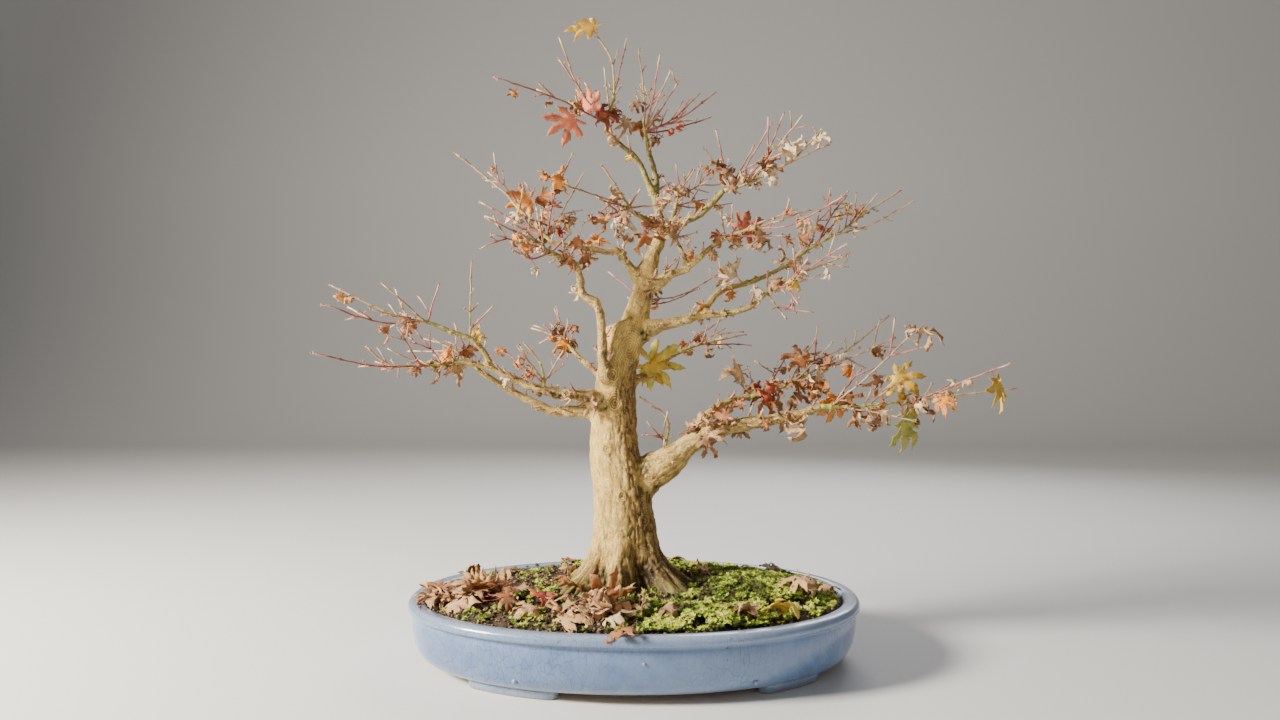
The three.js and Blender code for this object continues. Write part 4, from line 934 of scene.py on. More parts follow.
# %% Place on the limb
SAMPLE_MM = 1.5
CHUNK = 4000
lines = [(trunk_levels[:, [1, 3, 0]], trunk_levels[:, 2]), tapered(*TRUNK_LEADER, 30)]
lines += [limb_line(name, max(6, int(along_line(limb_lines[name], 0)[3] / SAMPLE_MM))) for name in LIMBS]
rows = [(points, radii, *frames_along(points)[1:], reaches(points), np.full(len(points), number))
        for number, (points, radii) in enumerate(lines)]
middles, radii_of, sides_of, others_of, reach_of, numbers = (np.concatenate(column) for column in zip(*rows))


def nearest_samples(points):
    """For each point the sample whose surface is nearest, and how near the two nearest limbs are."""
    firsts = np.flatnonzero(np.diff(numbers, prepend=-1))
    found = []
    for start in range(0, len(points), CHUNK):
        off = np.linalg.norm(points[start:start + CHUNK, None] - middles, axis=2) - radii_of
        each = np.minimum.reduceat(off, firsts, axis=1)
        found.append(np.column_stack([off.argmin(1), np.partition(each, 1, axis=1)[:, :2]]))
    nearest, first, second = np.concatenate(found).T
    return nearest.astype(int), first, second


best, first, second = nearest_samples(skin_points)
on_trunk = numbers[best] == 0
print("Joints between limbs hold", int((second < 3).sum()), "points")

# %% [markdown]
# A welded joint has a sharp inner corner, and a living one is filled and round. So points near two
# limbs move towards the mean of their neighbours, round after round. The first two rounds take
# the remesh's small steps off the whole skin.

# %% Smooth the joints
SMOOTH_ROUNDS = 20
edge_ends = np.empty(len(skin.edges) * 2, int)
skin.edges.foreach_get("vertices", edge_ends)
here, there = np.concatenate([edge_ends.reshape(-1, 2), edge_ends.reshape(-1, 2)[:, ::-1]]).T
degree = np.bincount(here, minlength=len(skin_points))


def bell(values, width):
    """1 where the values are 0, and falling softly to nothing over the width on both sides."""
    return np.exp(-((values / width) ** 2))


right, depth, up = skin_points.T
joint = np.maximum(bell(np.maximum(second, 0), 5), bell(up - STUMP_TOP[0], 16) * on_trunk)
# The riser stands apart from the trunk, with a crevice between them.
joint = joint * (1 - 0.9 * bell(right + 22, 9) * bell(up - 295, 24) * (depth < 0))
for k in range(SMOOTH_ROUNDS):
    share = np.where(k < 2, 0.5, 0.85 * joint)[:, None]
    mean = np.column_stack([np.bincount(here, column[there]) / degree for column in skin_points.T])
    skin_points = skin_points + (mean - skin_points) * share
print("Smoothed in", SMOOTH_ROUNDS, "rounds")

# %% [markdown]
# The bark's pattern is noise read in the straightened limb, so its waves are longer along the limb
# than across it. On the trunk, the place is a bearing and a height. Where two limbs meet, the
# straightened places don't match, so all relief fades out there.

# %% The straightened limb
BOLE_RADIUS = 27
FOOT_GIRTH = 62
FOOT_RISE = 24
LIMB_SHIFT = 31.0


def rolled_out(girth, drift=0.0):
    return np.column_stack([girth * np.cos(bearing) + drift, girth * np.sin(bearing), reach])


right, depth, up = skin_points.T
thickness = radii_of[best]
trunk_up, trunk_right, _, trunk_depth = trunk_levels.T
off_middle = skin_points - middles[best]
bearing = np.where(
    on_trunk,
    np.arctan2(depth - np.interp(up, trunk_up, trunk_depth), right - np.interp(up, trunk_up, trunk_right)),
    np.arctan2((off_middle * others_of[best]).sum(1), (off_middle * sides_of[best]).sum(1)),
)
reach = np.where(on_trunk, up, reach_of[best])
place = rolled_out(np.where(on_trunk, BOLE_RADIUS, thickness), LIMB_SHIFT * numbers[best])
place[:, :2] += 1.5 * wander(place, 9.0, 2.0, 6.0) * np.clip(thickness / 12, 0.1, 1)[:, None]
foot_place = rolled_out(FOOT_GIRTH)
foot = bell(np.maximum(up - SOIL_TOP_HEIGHT, 0), FOOT_RISE) * on_trunk
meeting = bell(second - first, 3)
print("The foot's own bark covers", int((foot > 0.5).sum()), "points")

# %% [markdown]
# Broad flutes and a fine pebbled grain are parted by fissures, which lie where the noise crosses
# zero. The trunk's foot has a layer of its own with many fine root ridges. The shaded right side
# of the trunk is rougher than the sunny left one, and thin boughs have only a little relief.

# %% Furrows and flutes
BOUGH_RUGGED = 0.62
front = depth < 2
coarse = lumps(place, [4.2, 4.2, 19], 7.7)
fine = lumps(place, [2.4, 2.4, 6.5], 1.3)
root_ridges = lumps(foot_place, [6.5, 6.5, 40], 2.9)
root_lines = lumps(foot_place, [3.0, 3.0, 15], 4.9)
bumps = lumps(skin_points, 4.5, 5.5) + 0.6 * lumps(skin_points, 2.2, 2.2)
amount = np.clip(thickness / 22, 0.06, 1)
lean = 0.85 * np.clip((up - 262) / 28, 0, 1)
shaded_side = 0.5 + 0.5 * np.tanh(2.5 * ((np.cos(bearing) - lean) * 0.75 + np.sin(bearing) * 0.4 + 0.1))
rugged = np.where(on_trunk, 0.34 + shaded_side, BOUGH_RUGGED) * (1 - foot) * (1 - 0.9 * meeting)
cuts = bell(coarse, 0.12) + 0.5 * bell(fine, 0.15)
root_cuts = bell(root_ridges, 0.2) + 0.5 * bell(root_lines, 0.2)
# Relief is in millimetres outward, and cuts are 1 in the middle of a fissure.
relief = 1.1 * amount * lumps(place, [13, 13, 60], 3.1) * (1 - meeting)
relief += rugged * amount**0.7 * (1.2 * abs(coarse) + 0.8 * abs(fine) - 0.8 * cuts)
relief += foot * (3.6 * abs(root_ridges) + 1.6 * abs(root_lines) - 1.7 * root_cuts - 0.4)
relief += 0.3 * amount**0.5 * bumps
# The furrows' dark colour follows rugged, so it is stronger on the shaded right side: partly painted shade.
furrows = np.clip(rugged * cuts + foot * 1.7 * root_cuts, 0, 1)
print("Furrows cover", round(float(furrows.mean()), 2), "of the skin")

# %% [markdown]
# Round scars with raised rims stand where old twigs were cut from the trunk, and callus grows
# round them in rings. Dark knots lie where boughs leave it, and painted shade darkens the crevices
# by the boughs, the underside of the lower left bough and the hollows of the foot. Then every point
# moves along its normal by its share of the relief, so that the furrows are real and catch the light.

# %% Scars, knots and the pushed skin
# Right, up, size and strength.
SCARS = [
    (-16, 241, 6.5, 1.0), (-18, 268, 5, 1.0), (9, 222, 5, 1.0), (-24, 196, 4, 0.8), (-2, 294, 13, 0.5),
    (-9, 152, 3.5, 0.8), (12, 128, 4, 1.0),
]
# Dark knots, and painted shade in crevices, under a bough and in the foot's hollows.
# Right, up, half length, half height and strength.
DARK_PLACES = [
    (-27, 237, 5, 9, 0.9), (-23, 286, 3, 7, 0.9), (13, 306, 6, 9, 1.0), (11, 178, 7, 16, 0.9),
    (17, 80, 14, 14, 1.0), (-28, 76, 7, 8, 0.9), (-68, 247, 23, 4.5, 1.1), (19, 344, 4, 5, 0.7),
    (24, 158, 8, 9, 0.7),
]
FRONT_DEPTH = -18
scarred, ring_place, knotty = np.zeros((3, len(skin_points)))
for scar_right, scar_up, size, strength in SCARS:
    middle = seen(scar_right, scar_up, FRONT_DEPTH)
    off = np.hypot(right - middle[0], 0.8 * (up - middle[2])) + 0.7 * bumps
    relief += strength * front * (1.2 * bell(off - size, 0.32 * size) - 1.4 * bell(off, 0.4 * size))
    near = strength * bell(off, 1.35 * size) * front
    ring_place = np.where(near > scarred, off, ring_place)
    scarred = np.maximum(scarred, near)
gnarls = np.clip(0.6 + 0.9 * lumps(skin_points, [2.2, 2.2, 4.84], 8.0), 0, 1)
for dark_right, dark_up, half_length, half_height, strength in DARK_PLACES:
    middle = seen(dark_right, dark_up, FRONT_DEPTH)
    dark = strength * front * bell(right - middle[0], half_length) * bell(up - middle[2], half_height)
    knotty = np.clip(np.maximum(knotty, dark * gnarls * 1.6), 0, 1)
    relief -= 1.8 * dark * (gnarls - 0.4)


def move_skin(points):
    skin.vertices.foreach_set("co", to_frame(points).ravel())
    skin.update()


move_skin(skin_points)
skin_points = skin_points + read_vectors(skin.vertex_normals, "vector") * relief[:, None]
move_skin(skin_points)
print("Relief from", round(float(relief.min()), 1), "to", round(float(relief.max()), 1), "mm")

# %% [markdown]
# ## Effects that several finishes share
#
# Bark, glaze, moss and leaves look nothing alike, but the same few effects make them: colour that
# drifts in soft patches, grain that runs one way, small specks, and a net of cracks. Each is a node
# group with named inputs, built once. A material then places the group with its own values.

# %% Helpers for nodes
def plug(socket, value):
    """Joins a socket to another one, or sets it to a plain value."""
    if isinstance(value, bpy.types.NodeSocket):
        socket.id_data.links.new(value, socket)
    else:
        socket.default_value = value


def node(tree, kind, inputs=None, **settings):
    """Adds a node, sets it up, and joins or sets its inputs."""
    made = tree.nodes.new("ShaderNode" + kind)
    for key, value in settings.items():
        setattr(made, key, value)
    for key, value in (inputs or {}).items():
        plug(made.inputs[key], value)
    return made


def worked(operation, *values):
    """The result of a Math node, such as ADD, on sockets and numbers."""
    tree = next(value.id_data for value in values if isinstance(value, bpy.types.NodeSocket))
    return node(tree, "Math", dict(enumerate(values)), operation=operation).outputs[0]


def times(value, factor):
    return worked("MULTIPLY", value, factor)


def ramp(value, low=0.0, high=1.0, first=0.0, last=1.0, kind="LINEAR"):
    """A value that is first up to low and last from high on."""
    ends = {"Value": value, "From Min": low, "From Max": high, "To Min": first, "To Max": last}
    return node(value.id_data, "MapRange", ends, interpolation_type=kind).outputs["Result"]


def vectors(operation, first, second):
    return node(first.id_data, "VectorMath", {0: first, 1: second}, operation=operation).outputs[0]


def layered(color, *layers):
    """A colour under others, each of which has its mask, its share and its colour."""
    for mask, share, over in layers:
        mixed = node(mask.id_data, "Mix", data_type="RGBA")
        for number, value in ((0, times(mask, share)), (6, color), (7, over)):
            plug(mixed.inputs[number], value)
        color = mixed.outputs[2]
    return color


def rgb(red, green, blue):
    return (red, green, blue, 1.0)


print("Node helpers are ready")

# %% [markdown]
# A node group is made with its sockets first: what a material may set, and what it gets back.
# The first group is colour in soft patches. Cloudy noise is cut to a mask, with a harder or softer
# edge by its contrast, and the mask blends two colours.

# %% Soft patches: mottle
def effect(name, inputs, outputs):
    """A shader node group with named sockets: its tree, what comes in and what goes out."""
    tree = bpy.data.node_groups.new(name, "ShaderNodeTree")
    for label, value in inputs.items():
        kind = "Float" if isinstance(value, (int, float)) else "Color" if len(value) == 4 else "Vector"
        socket = tree.interface.new_socket(label, in_out="INPUT", socket_type="NodeSocket" + kind)
        socket.default_value = value
    for label, kind in outputs.items():
        tree.interface.new_socket(label, in_out="OUTPUT", socket_type="NodeSocket" + kind)
    return tree, tree.nodes.new("NodeGroupInput").outputs, tree.nodes.new("NodeGroupOutput").inputs


mottle, came, gone = effect(
    "mottle",
    {"Vector": (0, 0, 0), "Scale": 1.0, "Contrast": 0.5, "First Color": rgb(0, 0, 0),
     "Second Color": rgb(1, 1, 1)},
    {"Color": "Color", "Mask": "Float"},
)
soft = node(mottle, "TexNoise", {"Vector": came["Vector"], "Scale": came["Scale"], "Detail": 4.0,
                                 "Roughness": 0.55})
low, high = worked("SUBTRACT", 0.5, came["Contrast"]), worked("ADD", 0.5, came["Contrast"])
mask = ramp(soft.outputs["Fac"], low, high, kind="SMOOTHSTEP")
plug(gone["Mask"], mask)
plug(gone["Color"], layered(came["First Color"], (mask, 1.0, came["Second Color"])))
print("Group", mottle.name)

# %% [markdown]
# Wood is made of fibres. Noise that is stretched along the limb gives them: its height is how far
# it is from its own middle, and a line is drawn where it crosses the middle.

# %% Grain along one way
grain, came, gone = effect(
    "grain",
    {"Vector": (0, 0, 0), "Across": 0.3, "Along": 0.04, "Width": 0.03},
    {"Height": "Float", "Line": "Float"},
)
stretches = {"X": came["Across"], "Y": came["Across"], "Z": came["Along"]}
stretch = node(grain, "CombineXYZ", stretches).outputs[0]
fibres = node(grain, "TexNoise", {"Vector": vectors("MULTIPLY", came["Vector"], stretch), "Scale": 1.0,
                                  "Detail": 4.0, "Roughness": 0.6, "Distortion": 0.4})
distance = worked("ABSOLUTE", worked("SUBTRACT", fibres.outputs["Fac"], 0.5))
plug(gone["Height"], distance)
plug(gone["Line"], ramp(distance, came["Width"], 0.0))
print("Group", grain.name)

# %% [markdown]
# Small round specks are the pores of bark, pits in glaze and crumbs of soil. A Voronoi texture has
# one cell for each, and its random colour decides which cells get a speck.

# %% Small specks
specks, came, gone = effect(
    "specks", {"Vector": (0, 0, 0), "Scale": 1.0, "Size": 0.2, "Share": 0.5}, {"Mask": "Float"},
)
cells = node(specks, "TexVoronoi", {"Vector": came["Vector"], "Scale": came["Scale"]}, feature="F1")
spot = ramp(cells.outputs["Distance"], came["Size"], times(came["Size"], 0.6))
chance = node(specks, "SeparateColor", {"Color": cells.outputs["Color"]}).outputs[0]
plug(gone["Mask"], times(spot, worked("LESS_THAN", chance, came["Share"])))
print("Group", specks.name)

# %% [markdown]
# The edges between Voronoi cells make a net, as cracks do in a glaze that shrank and veins do in a
# leaf. Pushing the place about with noise bends its straight lines.

# %% A net of fine cracks
cracks, came, gone = effect(
    "cracks", {"Vector": (0, 0, 0), "Scale": 100.0, "Width": 0.03, "Wander": 0.01}, {"Mask": "Float"},
)
waver = node(cracks, "TexNoise", {"Vector": came["Vector"], "Scale": 60.0, "Detail": 3.0})
pushed = node(cracks, "VectorMath", {0: vectors("SUBTRACT", waver.outputs["Color"], (0.5, 0.5, 0.5)),
                                     "Scale": came["Wander"]}, operation="SCALE")
bent = vectors("ADD", came["Vector"], pushed.outputs[0])
net = node(cracks, "TexVoronoi", {"Vector": bent, "Scale": came["Scale"]}, feature="DISTANCE_TO_EDGE")
plug(gone["Mask"], ramp(net.outputs["Distance"], came["Width"], 0.0))
print("Group", cracks.name)

# %% [markdown]
# ## The bark
#
# Old maple bark is cream and tan, with brown in the furrows and grey-brown specks. The young wood
# higher up is still olive green. A noise texture alone can't know where that is, so the skin
# stores it: the place in the straightened limb, how green the wood is, how deep a point lies in a
# furrow, and how far round the trunk's shaded right side it stands, which is painted browner as
# painted shade and damp bark.

# %% What the skin stores
BOUGHS_FROM = 2
green = np.zeros(len(skin_points))
for number, name in enumerate(LIMBS, BOUGHS_FROM):
    on_limb = numbers[best] == number
    green[on_limb] = between(LIMBS[name][3], reach[on_limb] / reach_of[numbers == number].max())
# Painted shade: the trunk's right side, away from the key lamp, turns browner, and noise adds damp brown
# patches.
shade_and_damp = shaded_side * on_trunk * (1 - meeting) + 0.25 * lumps(skin_points, 12.0, 6.0)
store(
    skin,
    limb_place=place,
    lines=np.clip(1 - 0.9 * meeting, 0, 1),
    brown_side=np.clip(shade_and_damp, 0, 1),
    green=np.clip(green * 1.45 + 0.35 * lumps(skin_points, 16.0, 9.0) * (green > 0), 0, 1),
    furrow=furrows,
    knotty=knotty,
    scar=scarred,
    ring_place=ring_place,
    slender=np.clip((14 - thickness) / 9, 0, 1),
    near_ground=bell(np.maximum(skin_points[:, 2] - SOIL_TOP_HEIGHT, 0), 10),
)
print("The skin stores", len(skin.attributes), "attributes")

# %% [markdown]
# The bark's colour is built in layers, from the broad patches down to the finest flecks, and each
# layer has a mask. Damp earth stains the foot last. The bump only adds fibres that are too fine
# for the mesh, since the furrows themselves are already in it.

# %% Bark on the skin
CREAM = rgb(1.0, 0.74, 0.2)
TAN = rgb(0.78, 0.5, 0.125)
SHADE_AND_DAMP_BROWN = rgb(0.29, 0.165, 0.052)
BARK_BROWN = rgb(0.07, 0.034, 0.013)
OLIVES = (rgb(0.25, 0.28, 0.025), rgb(0.55, 0.56, 0.11))
EARTHS = (rgb(0.05, 0.04, 0.02), rgb(0.16, 0.17, 0.03))
FLECK_PINK = rgb(0.5, 0.24, 0.1)
HAIR_BROWN = rgb(0.33, 0.2, 0.08)
BLOTCH_BROWN = rgb(0.3, 0.2, 0.1)
SPECK_BROWN = rgb(0.12, 0.075, 0.035)
LENTICEL_CREAM = rgb(0.88, 0.68, 0.34)
KNOT_AND_SHADE_DARK = rgb(0.03, 0.017, 0.008)
RINGS_PER_MM = 0.5


def object_place(tree):
    return tree.nodes.new("ShaderNodeTexCoord").outputs["Object"]


def placed(group, place, **inputs):
    """The outputs of a group placed in a material. Underscores stand for a name's spaces."""
    made = node(place.id_data, "Group", node_tree=group)
    plug(made.inputs["Vector"], place)
    for key, value in inputs.items():
        plug(made.inputs[key.replace("_", " ")], value)
    return made.outputs


def patches(place, scale, contrast, first, second):
    """Two colours in soft patches."""
    found = placed(mottle, place, Scale=scale, Contrast=contrast, First_Color=first, Second_Color=second)
    return found["Color"]


def clouds(place, scale, contrast):
    return placed(mottle, place, Scale=scale, Contrast=contrast)["Mask"]


def dots(place, scale, size, share):
    return placed(specks, place, Scale=scale, Size=size, Share=share)["Mask"]


def fibres_along(place, across, along, width):
    return placed(grain, place, Across=across, Along=along, Width=width)


def crack_net(place, scale, width, push):
    return placed(cracks, place, Scale=scale, Width=width, Wander=push)["Mask"]


def read(tree, name, output="Fac"):
    """A named attribute of the mesh."""
    return node(tree, "Attribute", attribute_name=name).outputs[output]


def finish(shader, color, height, strength, distance):
    """Gives a shader its colour and its bump."""
    plug(shader.inputs["Base Color"], color)
    bump = node(shader.id_data, "Bump", {"Height": height, "Strength": strength, "Distance": distance})
    plug(shader.inputs["Normal"], bump.outputs["Normal"])


bark, tree, shader = new_material("maple_bark", 0.7, 0.3)
place = object_place(tree)
straight = read(tree, "limb_place", "Vector")
lines, slender = read(tree, "lines"), read(tree, "slender")
fibre = fibres_along(straight, 0.3, 0.06, 0.03)
hair = fibres_along(straight, 0.8, 0.3, 0.06)
flecks = fibres_along(straight, 0.75, 0.35, 0.07)
wave = worked("SINE", times(read(tree, "ring_place"), RINGS_PER_MM * 2 * math.pi))
callus = times(ramp(wave, 0.1, 0.9, kind="SMOOTHSTEP"), read(tree, "scar"))
color = layered(
    patches(place, 95.0, 0.16, TAN, CREAM),
    # Painted shade and damp bark: the trunk's right side is painted browner.
    (read(tree, "brown_side"), 0.78, SHADE_AND_DAMP_BROWN),
    (read(tree, "green"), 1.0, patches(place, 200.0, 0.12, *OLIVES)),
    (flecks["Line"], 0.42, FLECK_PINK),
    (times(hair["Line"], lines), 0.5, HAIR_BROWN),
    (times(fibre["Line"], lines), 0.6, BARK_BROWN),
    (read(tree, "furrow"), 0.85, BARK_BROWN),
    (times(clouds(place, 430.0, 0.07), slender), 0.55, BLOTCH_BROWN),
    (times(dots(place, 560.0, 0.5, 0.5), slender), 0.75, SPECK_BROWN),
    (dots(place, 480.0, 0.35, 0.35), 0.5, LENTICEL_CREAM),
    # Painted shade in the crevices and hollows, with the dark knots.
    (read(tree, "knotty"), 0.9, KNOT_AND_SHADE_DARK),
    (callus, 0.75, BARK_BROWN),
    (read(tree, "near_ground"), 0.85, patches(place, 150.0, 0.1, *EARTHS)),
)
cut_in = worked("ADD", times(hair["Line"], 0.12), times(callus, 0.5))
finish(shader, color, worked("SUBTRACT", fibre["Height"], cut_in), 0.9, 0.0014)
skin.name = "trunk_and_boughs"
skin.polygons.foreach_set("use_smooth", [True] * len(skin.polygons))
piece_of(skin, bark, ["trunk", *LIMBS])

# %% [markdown]
# ## The twigs
#
# A maple's twigs are opposite: at each knot two buds or two side twigs face each other, and the
# next pair is turned a quarter. This year's shoots are thin and red, older ones turn tan or olive,
# and each ends in a pale pair of buds. Hair curves could draw them, but the finished file keeps
# only meshes, so each twig is a thin tube with a swelling at each knot.

# %% Buds
BUD_MM = (1.5, 0.62)
BUD_SPREAD_DEG = 24
BUD_FACES = [(2, 1, 0), (3, 2, 0), (4, 3, 0), (1, 4, 0), (1, 2, 5), (2, 3, 5), (3, 4, 5), (4, 1, 5)]
bud_heap = Heap()


def add_bud(at, way, size):
    """A small pointed bud."""
    way = unit(np.asarray(way, float))
    side = unit(np.cross(way, upright_or(RIGHT, way)))
    other = np.cross(way, side)
    length, half = BUD_MM[0] * size, BUD_MM[1] * size
    ring = [at + way * 0.35 * length + half * v for v in (side, other, -side, -other)]
    bud_heap.add([at - way * 0.2 * length, *ring, at + way * length], BUD_FACES)


def add_end_buds(at, along, side, draw):
    spread = math.radians(BUD_SPREAD_DEG)
    for hand in (1, -1):
        way = along * math.cos(spread) + hand * side * math.sin(spread)
        add_bud(at + hand * side * 0.4, way, 1.15 + 0.35 * draw())


print("A bud is", BUD_MM[0], "mm long")

# %% [markdown]
# The long shoots and side twigs are already there from the solids' rule. Here they get their true
# thickness, a slight wander and their knots. How young the wood is goes with every point.

# %% Shape of one twig
THINNER = 0.88
THINNEST_MM = 0.78
KNOT_RISE = 0.5
KNOT_HALF_MM = 1.0
YOUNG_MM = 15
twig_heaps = {kind: Heap() for kind in ("red", "tan", "olive")}


def add_twig(kind, line, draw, sides=6, spacing=(13, 30), young_share=0.0):
    """Adds a knotty twig with buds. Its knots come back as place, way, side, radius and share."""
    points, radii = line
    length = along_line(line, 0)[3]
    places = knot_places(length, draw, spacing)
    cuts = [np.linspace(0, length, max(3, int(length / 5)))]
    cuts += [places - KNOT_HALF_MM, places, places + KNOT_HALF_MM]
    reach = np.unique(np.clip(np.concatenate(cuts), 0, length))
    reach = reach[np.append(True, np.diff(reach) > 0.2)]
    if len(points) > 2:
        drawn = along_curve(points, reach / length)
    else:
        bend = 0.035 * length * np.sin(np.pi * reach / length)
        drawn = points[0] + np.outer(reach / length, points[1] - points[0])
        drawn = drawn + np.outer(bend, [draw() - 0.5, draw() - 0.5, draw() - 0.6])
    thick = THINNER * np.interp(reach, reaches(points), radii)
    thick = np.maximum(thick, min(THINNEST_MM, 0.45 + length / 90))
    drawn = drawn + 0.8 * wander(drawn, 9.0, 0.0, 3.7, 7.4) * np.minimum(reach / 12, 1)[:, None]
    for knot in places:
        thick = thick * (1 + KNOT_RISE * bell(reach - knot, 0.9))
    young = np.clip((reach - length) / max(YOUNG_MM, young_share * length) + 1, 0, 1) * min(1, length / 30)
    twig_heaps[kind].add(*tube(drawn, thick, sides), np.repeat(young, sides))
    along, side, other = frames_along(drawn)
    turn = draw() * math.pi
    found = []
    for knot in places:
        k = int(np.argmin(abs(reach - knot)))
        way = side[k] * math.cos(turn) + other[k] * math.sin(turn)
        turn += math.pi / 2
        found.append((drawn[k], along[k], way, thick[k], knot / length))
    add_end_buds(drawn[-1], along[-1], side[-1] * math.cos(turn) + other[-1] * math.sin(turn), draw)
    return found


print("A twig can be drawn in", len(twig_heaps), "kinds")

# %% [markdown]
# Sprouting goes level by level. A knot near the root of a shoot often carries a pair of side
# twigs, one near its tip only buds. Whatever would leave the box of its mass is left out.

# %% Sprout the finer twigs
SPROUT_MM = ((4, 24), (3, 8))
SPROUT_CHANCE = (0.32, 0.12)
SPROUT_RADII = ((0.78, 0.52), (0.6, 0.48))
STEM_CROWDING = 2.6
BOX_MARGIN_MM = 4
RED_SHARE = 0.66
leaf_spots = []


def inside(box, point):
    low, high = box
    return bool(((point > low - BOX_MARGIN_MM) & (point < high + BOX_MARGIN_MM)).all())


def sprout(kind, knots_found, box, draw, level, owner, crowding=1.0):
    """Buds or side twigs at the knots of a twig."""
    for at, along, way, thick, share in knots_found:
        chance = SPROUT_CHANCE[level] * crowding * (1.2 - share)
        for hand in (1, -1):
            lottery, size = draw(), draw()
            spread = math.radians(38 + 22 * draw())
            out = unit(along * math.cos(spread) + hand * way * math.sin(spread) + 0.22 * draw() * UP)
            if lottery > chance:
                add_bud(at + hand * way * thick * 0.8, along + hand * way * 0.7, 0.75 + 0.4 * draw())
                leaf_spots.append((owner, at, hand * way, share))
                continue
            tip = at + out * between(SPROUT_MM[level], size**1.8)
            if not inside(box, tip):
                continue
            radii = np.array(SPROUT_RADII[level]) / THINNER
            found = add_twig(kind, (np.array([at, tip]), radii), draw, 5, (6, 11))
            if level == 0:
                sprout(kind, found, box, draw, 1, owner)


def red_or_tan(draw):
    return "red" if draw() < RED_SHARE else "tan"


for name, mass in grown.items():
    draw = stream(9000 + MASSES[name]["seed"])
    box = to_drawing(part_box(name))
    found = add_twig("olive", mass["stem"], draw, 8, (9, 18), 0.7)
    sprout("tan", found, box, draw, 0, name, STEM_CROWDING)
    for line in mass["shoots"] + mass["twigs"]:
        kind = red_or_tan(draw)
        sprout(kind, add_twig(kind, line, draw), box, draw, 0, name)
print({kind: len(heap.faces) for kind, heap in twig_heaps.items()}, "faces on twigs")

# %% [markdown]
# The boughs carry short spurs too, on the knots that their tubes already have. Most point up or
# out, few down.

# %% Spurs on the boughs
SPUR_CHANCE = 0.62
SPUR_MM = (3, 19)
SPUR_RADII = np.array([1.3, 0.75])
WHOLE_BOX = to_drawing(cad_box)
for number, (name, shares) in enumerate(knots.items()):
    draw = stream(700 + number)
    for share in shares:
        at, radius, along, _ = along_line(limb_lines[name], share)
        side = unit(np.cross(along, UP))
        for hand in (1, -1):
            lottery, angle, size = draw(), draw(), draw()
            if lottery > SPUR_CHANCE or share < 0.12:
                continue
            way = unit(hand * side + (1.5 * angle - 0.35) * UP + 0.5 * along)
            root = at + way * (radius * 0.7)
            tip = root + way * (radius * 0.3 + between(SPUR_MM, size**2))
            kind = "tan" if draw() < 0.7 else red_or_tan(draw)
            found = add_twig(kind, (np.array([root, tip]), SPUR_RADII), draw, 6, (4, 8))
            sprout(kind, found, WHOLE_BOX, draw, 1, name)
print(sum(len(heap.faces) for heap in twig_heaps.values()), "faces with the spurs")

# %% [markdown]
# ## The withered leaves
#
# A maple leaf is a hand of five or seven pointed lobes with toothed edges. When it withers on the
# tree, each lobe rolls up along its rib and bends its own way, so no two leaves look alike. A flat
# card with a picture can't do that, so every leaf is a small mesh in its own outline: ribs, toothed
# edges and the notches between the lobes. It is bent lobe by lobe, made a little thick, and put in
# the heap of its tint.

# %% The flat leaf
STATIONS = [0.28, 0.39, 0.48, 0.55, 0.63, 0.7, 0.78, 0.86, 1.0]
HALF_WIDTHS = [0, 0.125, 0.185, 0.17, 0.19, 0.135, 0.13, 0.06, 0]
LOBE_SETS = {
    5: ([-104, -50, 0, 50, 104], [0.66, 0.92, 1.0, 0.92, 0.66]),
    7: ([-125, -80, -40, 0, 40, 80, 125], [0.45, 0.75, 0.94, 1.0, 0.94, 0.75, 0.45]),
}
BASE_ANGLE, BASE_REACH = 157, 0.13


def flat_leaf(lobes):
    """Rows of angle, reach, sideways offset, lobe's length and lobe, the faces and the outline."""
    angles, lengths = LOBE_SETS[lobes]
    rows = [(0, 0, 0, 1, 0), (-BASE_ANGLE, BASE_REACH, 0, 1, 0)]
    for k in range(1, lobes):
        rows.append(((angles[k - 1] + angles[k]) / 2, 0.4 * min(lengths[k - 1:k + 1]), 0, 1, k - 0.5))
    rows.append((BASE_ANGLE, BASE_REACH, 0, 1, lobes - 1))
    faces, outline = [], [1]
    for k, (angle, length) in enumerate(zip(angles, lengths)):
        rib = range(len(rows), len(rows) + len(STATIONS))
        rows += [(angle, s * length, 0, length, k) for s in STATIONS]
        edges = []
        for hand in (-1, 1):
            notch = k + 1 if hand < 0 else k + 2
            edges.append([notch, *range(len(rows), len(rows) + len(STATIONS) - 2)])
            rows += [(angle, s * length, hand * w * length, length, k)
                     for s, w in list(zip(STATIONS, HALF_WIDTHS))[1:-1]]
        left, right = edges
        faces += [(0, left[0], rib[0]), (0, rib[0], right[0])]
        for j in range(len(STATIONS) - 2):
            faces.append((rib[j], left[j], left[j + 1], rib[j + 1]))
            faces.append((rib[j], rib[j + 1], right[j + 1], right[j]))
        faces += [(rib[-2], left[-1], rib[-1]), (rib[-2], rib[-1], right[-1])]
        outline += [*left[1:], rib[-1], *right[:0:-1], k + 2]
    return np.array(rows, float), faces, outline


FLAT_LEAVES = {lobes: flat_leaf(lobes) for lobes in LOBE_SETS}
print({lobes: len(leaf[1]) for lobes, leaf in FLAT_LEAVES.items()}, "faces a side")

# %% [markdown]
# Bending a lobe means laying it along a circle: the further out a point is, the more it has
# turned. The edges fold up from the rib, and a twist turns them along the lobe. Noise in two sizes
# crumples the blade. Bend, fold and unevenness are the same few numbers for every leaf.

